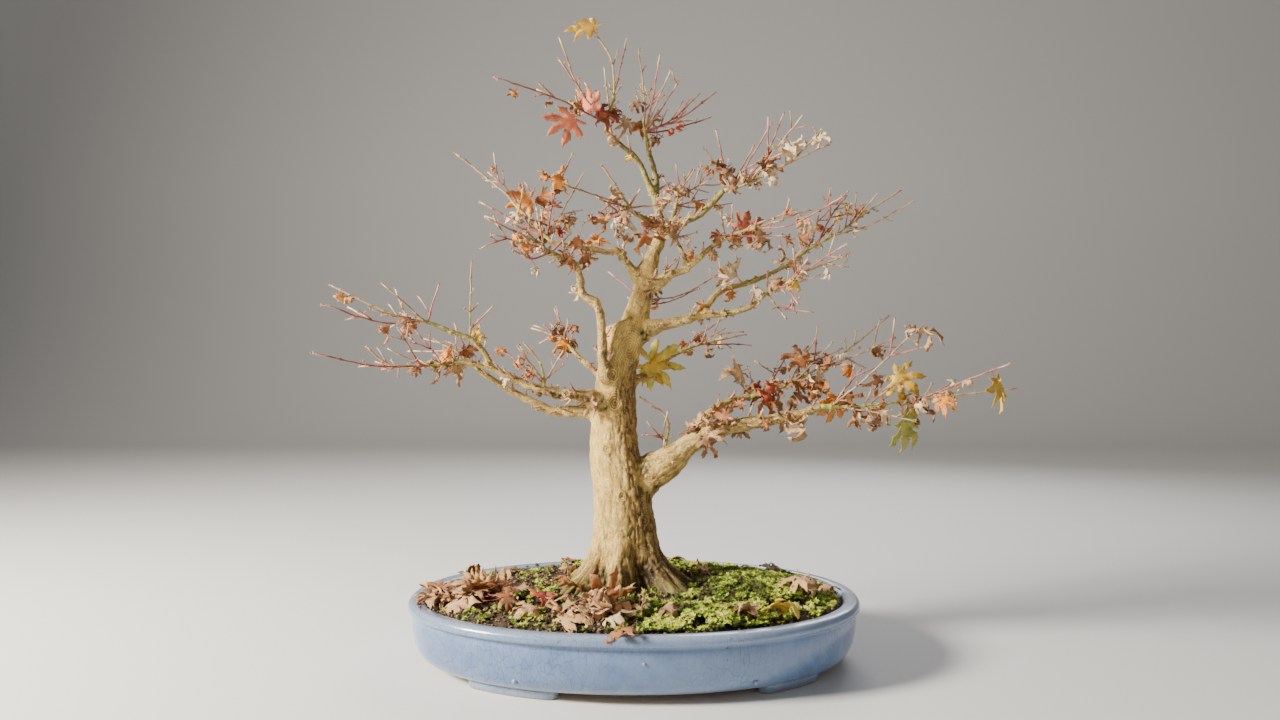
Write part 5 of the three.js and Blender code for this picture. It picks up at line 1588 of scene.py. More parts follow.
# %% Bend, fold and thicken
LEAF_THICK_MM = 0.3
CRUMPLE = 0.1
CRINKLE = 0.035
TINTS = {
    "red": rgb(0.42, 0.035, 0.018),
    "salmon": rgb(0.66, 0.15, 0.08),
    "rust": rgb(0.36, 0.12, 0.032),
    "orange": rgb(0.8, 0.26, 0.012),
    "gold": rgb(0.92, 0.57, 0.04),
    "brown": rgb(0.24, 0.11, 0.05),
    "tan": rgb(0.56, 0.34, 0.16),
    "cream": rgb(0.84, 0.64, 0.38),
    "green": rgb(0.42, 0.47, 0.06),
    "lime": rgb(0.92, 0.82, 0.1),
}
leaf_heaps = {tint: Heap() for tint in TINTS}


def thickened(points, faces, outline, thick):
    """A closed shell: the leaf, its underside a little below it, and the edge between them."""
    corners = points[[face[:3] for face in faces]]
    normals = np.zeros_like(points)
    for face, normal in zip(faces, np.cross(corners[:, 1] - corners[:, 0], corners[:, 2] - corners[:, 0])):
        normals[list(face)] += normal
    count = len(points)
    shell = faces + [tuple(i + count for i in face[::-1]) for face in faces]
    shell += [(b, a, a + count, b + count) for a, b in zip(outline, outline[1:] + outline[:1])]
    return np.concatenate([points, points - unit(normals) * thick]), shell


def add_leaf(tint, at, way, size, curl, roll, draw, lobes=7, fold=0.5, unevenness=0.8, crumpled=1.0):
    """One withered leaf. Way is the middle lobe's direction, and curl the bend at its tip."""
    rows, faces, outline = FLAT_LEAVES[lobes]
    forward = unit(np.asarray(way, float))
    side = turned(unit(np.cross(upright_or(RIGHT, forward, 0.95), forward)), forward, roll)
    face_way = np.cross(forward, side)
    bends = [curl * (1 + unevenness * (2 * draw() - 1)) for _ in range(lobes)]
    twists = [1.3 * unevenness * (draw() - 0.5) for _ in range(lobes)]
    stretches = [1 + 0.16 * (draw() - 0.5) for _ in range(lobes)]
    angle, reach, offset, length, lobe = rows.T[:, :, None]
    bend, twist, stretch = (np.interp(lobe, range(lobes), each) for each in (bends, twists, stretches))
    bend = np.where(abs(bend) < 0.02, 0.02, bend)
    offset = offset * (1.15 - size / 110)
    reach = reach * stretch
    angle = np.radians(angle)
    outward = forward * np.cos(angle) + side * np.sin(angle)
    across = side * np.cos(angle) - forward * np.sin(angle)
    turn = bend * reach
    axis = outward * (np.sin(turn) / bend) - face_way * ((1 - np.cos(turn)) / bend)
    raised = face_way * np.cos(turn) + outward * np.sin(turn)
    tilt = fold + np.sign(offset) * twist * reach
    shape = axis + offset * across * np.cos(tilt) + abs(offset) * raised * np.sin(tilt)
    crumple = wander(shape, 0.27, *[17.0 * draw() + k for k in range(3)])
    crinkle = wander(shape, 0.11, *[29.0 * draw() + k for k in range(3)])
    points = np.asarray(at) + size * (shape + crumpled * (CRUMPLE * crumple + CRINKLE * crinkle))
    edge = np.clip(6.5 * abs(offset) / length, 0, 1) + 0.8 * np.clip(3 * reach - 2.2, 0, 1)
    shell = thickened(points, faces, outline, LEAF_THICK_MM)
    leaf_heaps[tint].add(*shell, np.tile(np.clip(edge, 0, 1).ravel(), 2))


def add_stalk(start, at, draw):
    """A thin stalk that sags a little between the twig and the leaf."""
    sag = np.array([draw() - 0.5, draw() - 0.5, -0.35]) * 0.2 * np.linalg.norm(at - start)
    line = along_curve([start, (start + at) / 2 + sag, at], np.linspace(0, 1, 5))
    twig_heaps["red"].add(*tube(line, [0.42, 0.36, 0.33, 0.33, 0.42], 5))


print("Tints:", ", ".join(TINTS))

# %% [markdown]
# Some leaves can be told apart, so they are laid out one by one in the drawing. Such a leaf takes
# its depth from the twig or bough that shows nearest to its stalk, and hangs in front of it or
# behind it by a little.

# %% Leaves with a place of their own
# Right, up, length, heading in the drawing in degrees, tint, and how squarely it faces the viewer.
KNOWN_LEAVES = [
    (-49, 600, 30, 186, "gold", 0.04), (-55, 530, 10, 120, "cream", 0.7), (-40, 532, 22, 80, "salmon", 0.5),
    (-22, 516, 20, -20, "red", 0.8), (-68, 508, 29, 200, "salmon", 0.4), (-5, 478, 9, 200, "gold", 0.5),
    (-82, 462, 12, 100, "orange", 0.7), (-66, 454, 19, 10, "orange", 0.8), (-20, 436, 17, 230, "tan", 0.5),
    (-109, 434, 24, 190, "orange", 0.6), (-79, 434, 22, -30, "rust", 0.8), (-6, 422, 25, 20, "cream", 0.6),
    (-71, 404, 10, 200, "red", 0.8), (-35, 392, 16, 250, "orange", 0.9), (-44, 375, 19, 260, "rust", 0.6),
    (-105, 397, 14, 215, "cream", 0.5), (16, 394, 23, -60, "rust", 0.8), (153, 475, 27, -95, "cream", 0.7),
    (122, 466, 16, 215, "brown", 0.6), (136, 467, 18, -20, "rust", 0.7), (81, 459, 23, 250, "brown", 0.5),
    (85, 472, 8, 60, "cream", 0.6), (119, 448, 8, 240, "brown", 0.6), (48, 445, 14, -15, "tan", 0.5),
    (118, 413, 31, 25, "salmon", 0.9), (128, 391, 26, -80, "tan", 0.6), (84, 369, 36, 185, "cream", 0.7),
    (65, 332, 11, 215, "orange", 0.7), (99, 342, 14, -50, "orange", 0.9), (124, 345, 15, -30, "cream", 0.6),
    (145, 355, 10, -70, "rust", 0.6), (288, 312, 36, 2, "tan", 0.15), (34, 277, 40, -8, "lime", 1),
    (22, 269, 23, -62, "gold", 0.9), (-124, 292, 10, 30, "orange", 0.7), (-145, 308, 14, 30, "gold", 0.6),
    (-71, 294, 19, 195, "orange", 0.6), (95, 268, 23, 200, "tan", 0.7), (115, 255, 16, 190, "rust", 0.7),
    (99, 238, 14, -60, "red", 0.8), (125, 252, 21, 160, "red", 0.8), (168, 273, 33, -75, "tan", 0.8),
    (158, 285, 24, 150, "rust", 0.6), (185, 254, 26, -20, "rust", 0.7), (171, 261, 27, 200, "cream", 0.6),
    (152, 241, 24, 220, "brown", 0.6), (146, 221, 19, -100, "brown", 0.6),
    (212, 223, 18, -110, "cream", 0.5), (280, 237, 26, -15, "brown", 0.6),
    (194, 230, 30, -100, "orange", 0.8), (169, 209, 36, -85, "tan", 0.15), (266, 258, 34, -35, "gold", 0.6),
    (273, 208, 41, -52, "green", 1), (356, 247, 33, -68, "gold", 0.3), (-183, 288, 17, 200, "orange", 0.8),
    (-184, 269, 21, -95, "tan", 0.5), (-166, 268, 19, -80, "tan", 0.5), (-154, 288, 17, -30, "rust", 0.6),
    (-176, 280, 15, -60, "orange", 0.7), (137, 241, 27, -20, "rust", 0.6), (213, 240, 23, -30, "rust", 0.7),
    (233, 230, 22, -150, "tan", 0.6), (73, 229, 19, 100, "tan", 0.6), (54, 214, 22, 200, "tan", 0.7),
    (64, 205, 23, -100, "brown", 0.7), (76, 199, 20, -60, "brown", 0.6), (82, 215, 20, 20, "tan", 0.6),
    (66, 212, 18, -80, "brown", 0.5), (70, 207, 17, -110, "rust", 0.5), (58, 203, 19, -80, "brown", 0.6),
    (89, 234, 21, 80, "rust", 0.6), (36, 429, 19, -80, "tan", 0.5), (-27, 411, 21, -100, "rust", 0.7),
    (-10, 396, 15, -140, "tan", 0.6), (18, 416, 17, 60, "rust", 0.6), (-60, 415, 18, -20, "tan", 0.6),
    (-91, 409, 14, 230, "rust", 0.6), (-54, 391, 17, -120, "rust", 0.6), (95, 392, 15, -120, "tan", 0.6),
    (148, 381, 17, -60, "tan", 0.5), (159, 367, 17, -100, "cream", 0.5), (-6, 504, 19, -100, "tan", 0.6),
    (7, 502, 18, -70, "rust", 0.6), (-56, 525, 14, 200, "rust", 0.5), (102, 449, 17, -100, "tan", 0.5),
    (142, 260, 15, 40, "tan", 0.6), (235, 256, 19, -100, "rust", 0.6), (266, 241, 17, -60, "tan", 0.6),
]
KNOWN_STALK_MM = 5
WITHERED_TINTS = ("brown", "tan", "rust", "cream")
twig_points = [shape[::6] for heap in twig_heaps.values() for shape in heap.points]
twig_points = np.concatenate([*twig_points, middles])
in_front = np.append(np.zeros(len(twig_points) - len(middles)), 2 + 1.3 * radii_of)
eye_view = EYE[[0, 2]]
twig_view = eye_view + (twig_points[:, [0, 2]] - eye_view) * (EYE[1] / (EYE[1] - twig_points[:, 1:2]))
draw = stream(55)
stalk_lengths = []
for right, up, length, heading, tint, facing in KNOWN_LEAVES:
    angle = math.radians(heading)
    ahead = np.array([math.cos(angle), math.sin(angle)])
    base_at = np.array([right, up]) - ahead * 0.42 * length
    off = np.linalg.norm(twig_view - base_at + ahead * KNOWN_STALK_MM, axis=1)
    nearest = int(np.argmin(off + 0.04 * twig_points[:, 1]))
    start = twig_points[nearest]
    at = seen(*base_at, start[1] - in_front[nearest] + 10 * (draw() - 0.6))
    forward = np.array([ahead[0], 0.7 * (draw() - 0.5), ahead[1]])
    roll = (1 if draw() < 0.75 else -1) * (0.5 * math.pi * facing + 0.3 * (draw() - 0.5))
    size = (1.12 if length < 30 else 0.95) * length * (at[1] - EYE[1]) / -EYE[1]
    stalk_lengths.append(float(np.linalg.norm(at - start)))
    add_stalk(start, at, draw)
    # Small and brown ones are rolled up tight, and the others are nearly flat.
    if length < 22 or tint in WITHERED_TINTS:
        bend, shape = between((1.3, 2.6), draw()), (1.0, 0.9, 1.5)
    else:
        bend, shape = between((0.35, 0.8), draw()), (0.4, 0.6, 0.8)
    add_leaf(tint, at, forward, size, bend, roll, draw, 7 if draw() < 0.6 else 5, *shape)
print(len(KNOWN_LEAVES), "leaves, the longest stalk", round(max(stalk_lengths)), "mm")

# %% [markdown]
# Each part of the crown has its own mix of tints, as the leaves of one spray wither together. More
# small ones, tightly rolled, hang from knots near the boughs.

# %% Leaves on the tree
SPRAY_TINTS = {
    "twigs_low_right": ("tan", "rust", "brown", "cream", "orange", "rust"),
    "twigs_low_left": ("orange", "tan", "rust"),
    "twigs_left_crown": ("orange", "rust", "cream", "tan", "orange"),
    "twigs_apex": ("salmon", "red", "rust", "brown"),
    "twigs_crown": ("brown", "tan", "cream", "rust"),
    "twigs_upper": ("salmon", "cream", "tan", "rust"),
    "twigs_mid": ("cream", "gold", "rust", "tan"),
    "twigs_back": ("rust", "tan", "brown", "orange"),
    "bough": ("cream", "tan", "rust", "tan", "brown"),
    "leader": ("tan", "brown", "rust"),
}
EXTRA_SHARE = 0.06
BARE_BOUGHS = ("bough_low_left_lower", "bough_riser", "bough_back_left")


def tint_for(owner, draw):
    mix = next(tints for start, tints in SPRAY_TINTS.items() if owner.startswith(start))
    return mix[int(draw() * len(mix))]


for name, mass in grown.items():
    draw = stream(4000 + MASSES[name]["seed"])
    for start, at, way, size, curl, roll, known in mass["leaves"]:
        tint = tint_for(name, draw)
        if not known:
            add_stalk(start, at, draw)
            add_leaf(tint, at, way, size, 1.7 * (0.6 + curl), roll + 2.4 * (draw() - 0.5), draw, 7, 0.8, 0.8)
draw = stream(777)
extra = 0
for owner, at, way, share in leaf_spots:
    likely = EXTRA_SHARE * (1.4 - share) * (3.0 if owner.startswith("bough") else 1.4)
    if draw() > likely or owner in BARE_BOUGHS:
        continue
    out = unit(way + np.array([draw() - 0.5, draw() - 0.5, -0.2 - 0.9 * draw()]))
    end = at + out * between((3, 9), draw())
    size = between((8, 19), draw())
    if inside(WHOLE_BOX, end + out * size):
        add_stalk(at, end, draw)
        add_leaf(tint_for(owner, draw), end, out - 0.4 * UP, size, 1.6 + 1.6 * draw(),
                 3 * (draw() - 0.5), draw, 5 if draw() < 0.5 else 7, 0.9, 0.9)
        extra += 1
print(extra, "small leaves more")

# %% [markdown]
# ## Fallen leaves
#
# The leaves that have fallen lie in two heaps, one at the left rim and one in front of the roots,
# and a few lie alone on the moss. Dropping them by simulation would take long and would scatter
# them, so each is laid from a list or by a seed. The ground rises from the rim to a broad middle, so a
# leaf takes its height from the ground's own shape.

# %% The ground's height
RIM_WIDTH = 16
SOIL_EDGE_HEIGHT = 55
SOIL_RISE = 11
PLATEAU_SHARE = 0.49
SQUARENESS = 2.13
SOIL_INSET = RIM_WIDTH + 1.3
# Middle, half length, half depth and height of the moss cushions and of the heaps of leaves.
CUSHIONS = [(116, -12, 58, 60, 9), (68, -106, 33, 22, 8), (-86, -60, 20, 17, 6), (-20, 96, 74, 26, 8)]
HEAPS = [(-150, -40, 36, 28, 10), (-24, -100, 36, 20, 9)]


def outwardness(x, y, inset=SOIL_INSET):
    """How far out a place of the pot is: 0 in the middle and 1 on the oval at this inset."""
    right = abs((x - POT_MIDDLE) / (POT_HALF_LENGTH - inset))
    away = abs(y / (POT_HALF_DEPTH - inset))
    return (right**SQUARENESS + away**SQUARENESS) ** (1 / SQUARENESS)


def ground(x, y):
    share = np.clip((outwardness(x, y) - PLATEAU_SHARE) / (1 - PLATEAU_SHARE), 0, 1)
    return SOIL_EDGE_HEIGHT + SOIL_RISE * (1 - share**2)


def mound(x, y, mounds):
    """Height of the highest of some round mounds above the ground."""
    lift = np.zeros(np.shape(x))
    for middle_x, middle_y, half_length, half_depth, height in mounds:
        share = ((x - middle_x) / half_length) ** 2 + ((y - middle_y) / half_depth) ** 2
        lift = np.maximum(lift, height * np.clip(1 - share, 0, 1) ** 0.6)
    return lift


print("The ground stands at", round(float(ground(0.0, 0.0)), 1), "mm in the middle")

# %% [markdown]
# Some fallen leaves claw down on their tips, others cup upward, and one on the rim hangs over it.
# In a heap, each leaf lies a little above the last, turned any way.

# %% Lay the fallen leaves
# Place on the ground, lift, heading in degrees, size, bend, roll and tint.
SINGLE_LEAVES = [
    (156, -34, 19, 268, 31, 1.5, 0.15, "tan"), (150, -28, 13, 30, 24, 2.2, -0.5, "rust"),
    (121, -98, 14, 15, 31, 1.0, -0.5, "gold"), (102, -102, 13, 200, 29, 1.8, 0.5, "tan"),
    (96, -104, 9, 120, 21, 2.2, 0.6, "brown"), (68, 20, 12, 60, 20, 1.4, 0.6, "rust"),
    (52, 18, 8, 10, 14, 1.4, -0.5, "rust"), (-8, -144, 8, 264, 22, 1.3, 0.4, "rust"),
    (-52, -46, 12, 118, 24, 1.1, 0.7, "rust"), (-62, 22, 10, 60, 24, 1.8, 0.8, "tan"),
    (-180, -44, 12, 190, 28, 1.3, 0.2, "tan"), (-176, -22, 11, 160, 25, 1.1, -0.2, "rust"),
    (-112, -76, 10, 25, 30, 1.3, 0.4, "rust"), (-96, -44, 8, 200, 24, 1.3, -0.3, "tan"),
    (30, -104, 9, 320, 20, 1.5, 0.3, "tan"), (140, 62, 8, 40, 20, 1.1, 0.4, "brown"),
    (-60, 92, 8, 100, 22, 1.2, 0.2, "rust"), (40, 98, 8, 30, 22, 1.3, -0.3, "tan"),
    (-120, 52, 7, 140, 23, 1.0, 0.3, "brown"), (-86, -96, 8, 230, 22, 1.2, -0.2, "tan"),
    (182, -12, 9, 300, 19, 1.4, 0.2, "tan"), (-78, -82, 10, 50, 29, 1.2, 0.5, "red"),
]
# How many leaves each heap has, and the mix of their tints.
HEAP_LEAVES = [
    (30, ("tan", "brown", "rust", "tan", "brown", "tan")),
    (22, ("tan", "brown", "cream", "tan", "rust", "tan")),
]


def lay_leaf(x, y, lift, heading, size, bend, roll, tint, draw, lobes=7):
    turn = math.radians(heading)
    forward = np.array([math.cos(turn), math.sin(turn), 0.25 * (draw() - 0.3)])
    at = np.array([x, y, float(ground(x, y)) + lift])
    add_leaf(tint, at, forward, size, bend, roll, draw, lobes, 0.45, 0.9)
    if draw() < 0.6:
        tail = at - unit(forward) * size * between((0.6, 1.3), draw()) + UP * 7 * (draw() - 0.25)
        add_stalk(at, tail, draw)


draw = stream(31)
for leaf in SINGLE_LEAVES:
    lay_leaf(*leaf, draw)
for (middle_x, middle_y, half_length, half_depth, _), (count, tints) in zip(HEAPS, HEAP_LEAVES):
    for _ in range(count):
        out, turn = math.sqrt(draw()) * 1.1, 2 * math.pi * draw()
        x = middle_x + half_length * out * math.cos(turn)
        y = middle_y + half_depth * out * math.sin(turn)
        lift = 3 + float(mound(x, y, HEAPS)) * (0.4 + 0.9 * draw())
        bend = between((0.7, 2.2), draw()) * (1 if draw() < 0.7 else -1)
        lay_leaf(x, y, lift, 360 * draw(), between((19, 31), draw()), bend, 2.2 * (draw() - 0.5),
                 tints[int(draw() * len(tints))], draw, 7 if draw() < 0.7 else 5)
# One leaf leans upright against the roots.
add_leaf("rust", (-21, -92, 75), (0.3, 0.1, 0.95), 31, -0.5, 1.35, draw, 5, 0.2, 0.6, 1.3)
print({tint: len(heap.points) for tint, heap in leaf_heaps.items()}, "leaves by tint")

# %% [markdown]
# A dry leaf is never one colour: it fades in patches, turns darker and browner towards its edges
# and tips, has a net of raised veins, and is a little rough. Both sides show, and the underside is
# paler, which the patches stand in for. One finish serves all tints, since only their first colour
# differs.

# %% Finish the leaves and stalks
LEAF_FADE = rgb(0.56, 0.34, 0.15)
LEAF_DARK = rgb(0.1, 0.035, 0.02)
LEAF_EDGE = rgb(0.5, 0.27, 0.12)


def toned(color, other, share):
    return [between(pair, share) for pair in zip(color, other)]


for tint, heap in leaf_heaps.items():
    leaf_paint, tree, shader = new_material("leaf_" + tint, 0.62, 0.35)
    place = object_place(tree)
    deep = toned(TINTS[tint], LEAF_DARK, 0.4)
    color = layered(
        patches(place, 75.0, 0.12, TINTS[tint], toned(TINTS[tint], LEAF_FADE, 0.35)),
        (clouds(place, 190.0, 0.1), 0.55, deep),
        (read(tree, "shade"), 0.55, patches(place, 240.0, 0.2, deep, LEAF_EDGE)),
    )
    finish(shader, color, crack_net(place, 420.0, 0.12, 0.002), 0.5, 0.0003)
    drifts = ["fallen_leaves_left", "fallen_leaves_front"] if tint == "tan" else ()
    piece_of_heap("leaves_" + tint, heap, leaf_paint, drifts)

# %% [markdown]
# A twig is hardly a pixel wide in most pictures, so its finish stays simple: a colour for its old
# end and a paler one for its young end, soft drift along the wood, and a satin skin. The heap kept
# how young each point is. Moss and soil take a finish of the same kind later, so it is a function.

# %% Finishes of the twigs
# Two colours for the old wood and one for the young end.
TWIG_COLORS = {
    "red": (rgb(0.2, 0.045, 0.03), rgb(0.44, 0.15, 0.1), rgb(0.74, 0.48, 0.34)),
    "tan": (rgb(0.26, 0.13, 0.06), rgb(0.5, 0.31, 0.15), rgb(0.78, 0.6, 0.4)),
    "olive": (rgb(0.22, 0.2, 0.03), rgb(0.42, 0.38, 0.08), rgb(0.5, 0.25, 0.15)),
}
BUD_COLORS = (rgb(0.26, 0.09, 0.05), rgb(0.6, 0.38, 0.22), rgb(0.7, 0.55, 0.4))


def dotted_finish(name, surface, colors, drift, spots, bump, over=None):
    """Two colours in patches, with raised dots.

    Surface is roughness and specular level, drift the scale and contrast of the patches, spots the
    scale, size and share of the dots, and bump their strength and height. Over is one more layer:
    its mask, which is an attribute's name or the dots, its share and its colour.
    """
    made, tree, shader = new_material(name, *surface)
    place = object_place(tree)
    color = patches(place, *drift, *colors)
    raised = dots(place, *spots)
    if over:
        mask, share, paint = over
        color = layered(color, (raised if mask == "dots" else read(tree, mask), share, paint))
    finish(shader, color, raised, *bump)
    return made


def twig_finish(name, roughness, old, older, young):
    return dotted_finish(name, (roughness, 0.4), (old, older), (150.0, 0.12), (700.0, 0.4, 0.4),
                         (0.4, 0.0002), ("shade", 0.8, young))


for kind, heap in twig_heaps.items():
    replaced = [*MASSES] if kind == "red" else ()
    paint = twig_finish("shoot_" + kind, 0.5, *TWIG_COLORS[kind])
    piece_of_heap("shoots_" + kind, heap, paint, replaced)
piece_of_heap("buds", bud_heap, twig_finish("bud_scales", 0.6, *BUD_COLORS))

# %% [markdown]
# ## The pot
#
# The pot is a shallow oval tray of stoneware with a rounded lip, a soft step under the lip, a
# gently bulging wall and four low feet. A potter would press it in a mould. Here one profile is
# swept round a superellipse, an oval that is a little squarer than an ellipse. Each row of the
# profile keeps how thin the glaze is there, because glaze runs off sharp edges and lets the pale
# body show through. The wall is uneven by a third of a millimetre, as hand pressing leaves it.

# %% The wall of the pot
POT_SIDES = 240
# Inset from the rim, height, and how thin the glaze is.
POT_PROFILE = [
    (19.5, 7.6, 0.9), (17.2, 7.9, 1), (15.2, 8.8, 0.8), (12.6, 10.6, 0.3), (10.2, 13.4, 0.1), (8.1, 17.3, 0),
    (6.6, 21.5, 0), (5.2, 27.5, 0), (4.3, 33.5, 0), (4, 38.5, 0), (4.1, 43.5, 0), (4.6, 47.2, 0.05),
    (4.9, 48.6, 0), (4.6, 49.6, 0), (2.9, 50.2, 0.35), (1.2, 50.9, 0.5), (0.25, 52.1, 0.35),
    (0, 53.9, 0.25), (0.5, 56, 0.4), (1.7, 57.8, 0.7), (3.6, 58.9, 0.8), (6.2, 59.3, 0.5),
    (9.5, 59.3, 0.4), (12.4, 58.9, 0.7), (14.6, 57.9, 0.8), (15.9, 56.4, 0.4), (16.6, 53.8, 0.1),
    (17, 48, 0), (17, 28, 0), (30, 15.5, 0),
]
BELLY_ROWS = slice(5, 11)


def oval_ring(inset, height, angles):
    """A ring of the pot's oval at this inset from the rim."""
    c, s = np.cos(angles), np.sin(angles)
    power = 2 / SQUARENESS
    x = POT_MIDDLE + (POT_HALF_LENGTH - inset) * np.sign(c) * abs(c) ** power
    y = (POT_HALF_DEPTH - inset) * np.sign(s) * abs(s) ** power
    return np.column_stack([x, y, np.broadcast_to(height, x.shape)])


def outward_at(points):
    return unit(points * [1, 1, 0] - [POT_MIDDLE, 0, 0])


turns = np.linspace(0, 2 * np.pi, POT_SIDES, endpoint=False)
profile = np.array(POT_PROFILE)
wall = np.concatenate([oval_ring(inset, height, turns) for inset, height, _ in profile])
hand_made = np.minimum(0.35 * lumps(wall, 55.0, 2.0) + 0.12 * lumps(wall, 14.0, 8.0), 0.2)
on_wall = (wall[:, 2] > 9) & (wall[:, 2] < 58)
wall = wall + outward_at(wall) * (hand_made * on_wall)[:, None]
pot = Heap()
pot.add(wall, ring_faces(len(profile), POT_SIDES), np.repeat(profile[:, 2], POT_SIDES))
print("The wall has", len(pot.faces), "faces")

# %% [markdown]
# The feet are low and stretched, with rounded ends. Their lower edge was wiped clean of glaze
# before firing, so that the pot wouldn't stick to the kiln shelf. A few small blisters stand on the
# wall, where a bubble was caught in the glaze.

# %% Four feet and some blisters
FOOT_SPANS_DEG = [(-137, -108), (-57, -33), (33, 62), (123, 150)]
# Inset and height of a foot's cross section.
FOOT_SECTION = [(20.2, 0), (33.8, 0), (34.8, 0.8), (34.4, 4.5), (33.4, 9.3), (17.2, 9.3), (18, 5), (19, 1)]
FOOT_STEPS = 28
FOOT_END_MM = 9
FOOT_INSET = 26.5
# Bearing in degrees, height and radius, then width and rise of a blister's rings.
BLISTERS = [(-117, 17, 2.6), (-88, 37, 1.7), (-62, 16, 2.2), (38, 24, 2.2), (150, 30, 2.4)]
BLISTER_RINGS = [(1.25, -0.4), (1.0, 0.1), (0.75, 0.42), (0.35, 0.62)]
BLISTER_SIDES = 10

for span in FOOT_SPANS_DEG:
    turns = np.radians(np.linspace(*span, FOOT_STEPS))
    reach = reaches(oval_ring(FOOT_INSET, 0.0, turns))
    from_end = np.minimum(reach, reach[-1] - reach)
    wide = np.sqrt(np.clip(1 - (1 - np.minimum(from_end / FOOT_END_MM, 1)) ** 2, 0.03, 1))
    foot = np.stack([oval_ring(FOOT_INSET + (inset - FOOT_INSET) * wide, height, turns)
                     for inset, height in FOOT_SECTION], axis=1)
    pot.add(foot.reshape(-1, 3), [face[::-1] for face in ring_faces(FOOT_STEPS, len(FOOT_SECTION))], 0.5)
turns = 2 * np.pi * np.arange(BLISTER_SIDES) / BLISTER_SIDES
for bearing, height, radius in BLISTERS:
    inset = np.interp(height, profile[BELLY_ROWS, 1], profile[BELLY_ROWS, 0])
    middle = oval_ring(inset, height, np.radians([bearing]))
    out = outward_at(middle)[0]
    circle = np.outer(np.cos(turns), np.cross(UP, out)) + np.outer(np.sin(turns), UP)
    dome = [middle + radius * (width * circle + rise * out) for width, rise in BLISTER_RINGS]
    pot.add(np.concatenate(dome), ring_faces(len(dome), BLISTER_SIDES), 0.3)
print(len(FOOT_SPANS_DEG), "feet")

# %% [markdown]
# The glaze is a pale slate blue that pools darker in patches, under a glassy coat. As it cooled it
# shrank more than the clay and tore into a net of fine cracks, with a finer net inside. Old soil
# has darkened the cracks. A few pinholes are left from bubbles, and bare clay shows on the
# underside and along the foot of the feet.

# %% The crackle glaze
GLAZES = (rgb(0.075, 0.145, 0.31), rgb(0.145, 0.24, 0.43))
GLAZE_CLOUD = rgb(0.3, 0.4, 0.53)
GLAZE_THIN = rgb(0.36, 0.42, 0.48)
FINE_CRACK = rgb(0.08, 0.1, 0.15)
WIDE_CRACK = rgb(0.05, 0.06, 0.08)
PINHOLE = rgb(0.06, 0.045, 0.03)
CLAY = rgb(0.36, 0.28, 0.2)

glaze, tree, shader = new_material("crackle_glaze", 0.24)
shader.inputs["Coat Roughness"].default_value = 0.12
place = object_place(tree)
cloudy = clouds(place, 70.0, 0.3)
drawn_out = vectors("MULTIPLY", place, (1.0, 1.0, 0.5))
wide_net = crack_net(drawn_out, 190.0, 0.04, 0.004)
fine_net = crack_net(drawn_out, 430.0, 0.055, 0.003)
torn = read(tree, "torn")
pinholes = dots(place, 110.0, 0.1, 0.12)


def upward(vector):
    return node(tree, "SeparateXYZ", {"Vector": vector}).outputs["Z"]


foot_line = ramp(upward(place), 0.0018, 0.0008, kind="SMOOTHSTEP")
underside = ramp(upward(node(tree, "NewGeometry").outputs["Normal"]), -0.9, -0.97, kind="SMOOTHSTEP")
bare = worked("MAXIMUM", foot_line, underside)
color = layered(
    patches(place, 16.0, 0.22, *GLAZES),
    (cloudy, 0.25, GLAZE_CLOUD),
    (read(tree, "thin_glaze"), 0.75, GLAZE_THIN),
    (times(fine_net, torn), 0.25, FINE_CRACK),
    (times(wide_net, torn), 0.7, WIDE_CRACK),
    (pinholes, 1.0, PINHOLE),
    (bare, 1.0, CLAY),
)
plug(shader.inputs["Roughness"], ramp(bare, first=0.24, last=0.85))
plug(shader.inputs["Coat Weight"], ramp(bare, first=0.6, last=0.0))
finish(shader, color, worked("SUBTRACT", cloudy, worked("MAXIMUM", wide_net, pinholes)), 0.25, 0.0003)
points, faces = pot.joined()
tearing = 0.62 + 0.75 * lumps(points, 60.0, 3.0) - 0.5 * (points[:, 0] - POT_MIDDLE) / POT_HALF_LENGTH
thinness = np.concatenate(pot.shades)
mesh = mesh_of("glazed_pot", points, faces, thin_glaze=thinness, torn=np.clip(tearing, 0, 1))
piece_of(mesh, glaze, ["pot"])

# %% [markdown]
# ## The soil
#
# Bonsai soil is a mix of hard-baked clay grains, bark crumbs and dust, dark where it is moist. One
# lumpy surface carries it. A bump in its finish alone would leave it flat from the side, so a few
# thousand grains of many sizes lie on top as a mesh of their own.

# %% The soil's surface
SOIL_RINGS = 84
SOIL_SIDES = 220
SKIRT_HEIGHT = 35
SOIL_BROWNS = (rgb(0.022, 0.014, 0.009), rgb(0.085, 0.055, 0.033))
CRUMB = rgb(0.2, 0.14, 0.09)

middle = np.array([POT_MIDDLE, 0, 0])
ring = oval_ring(SOIL_INSET, 0.0, np.linspace(0, 2 * np.pi, SOIL_SIDES, endpoint=False))
shares = np.linspace(0, 1, SOIL_RINGS + 1)[1:] ** 0.8
points = np.concatenate([middle + (ring - middle) * share for share in shares])
rough = 1.1 * lumps(points, 9.0, 4.0) + 0.8 * lumps(points, 3.4, 6.0)
points[:, 2] = ground(points[:, 0], points[:, 1]) + rough
faces = [face[::-1] for face in ring_faces(SOIL_RINGS + 1, SOIL_SIDES)]
mesh = mesh_of("soil_surface", np.concatenate([points, ring + [0, 0, SKIRT_HEIGHT]]), faces)
soil_paint = dotted_finish("moist_soil", (0.9, 0.2), SOIL_BROWNS, (90.0, 0.2), (520.0, 0.5, 0.4),
                           (0.8, 0.001), ("dots", 0.5, CRUMB))
piece_of(mesh, soil_paint, ["soil"])

# %% [markdown]
# Each grain is a ball of twenty faces whose points are pushed about a little, so that it looks
# broken. All grains are made at once as one big array, which is far quicker than one by one.

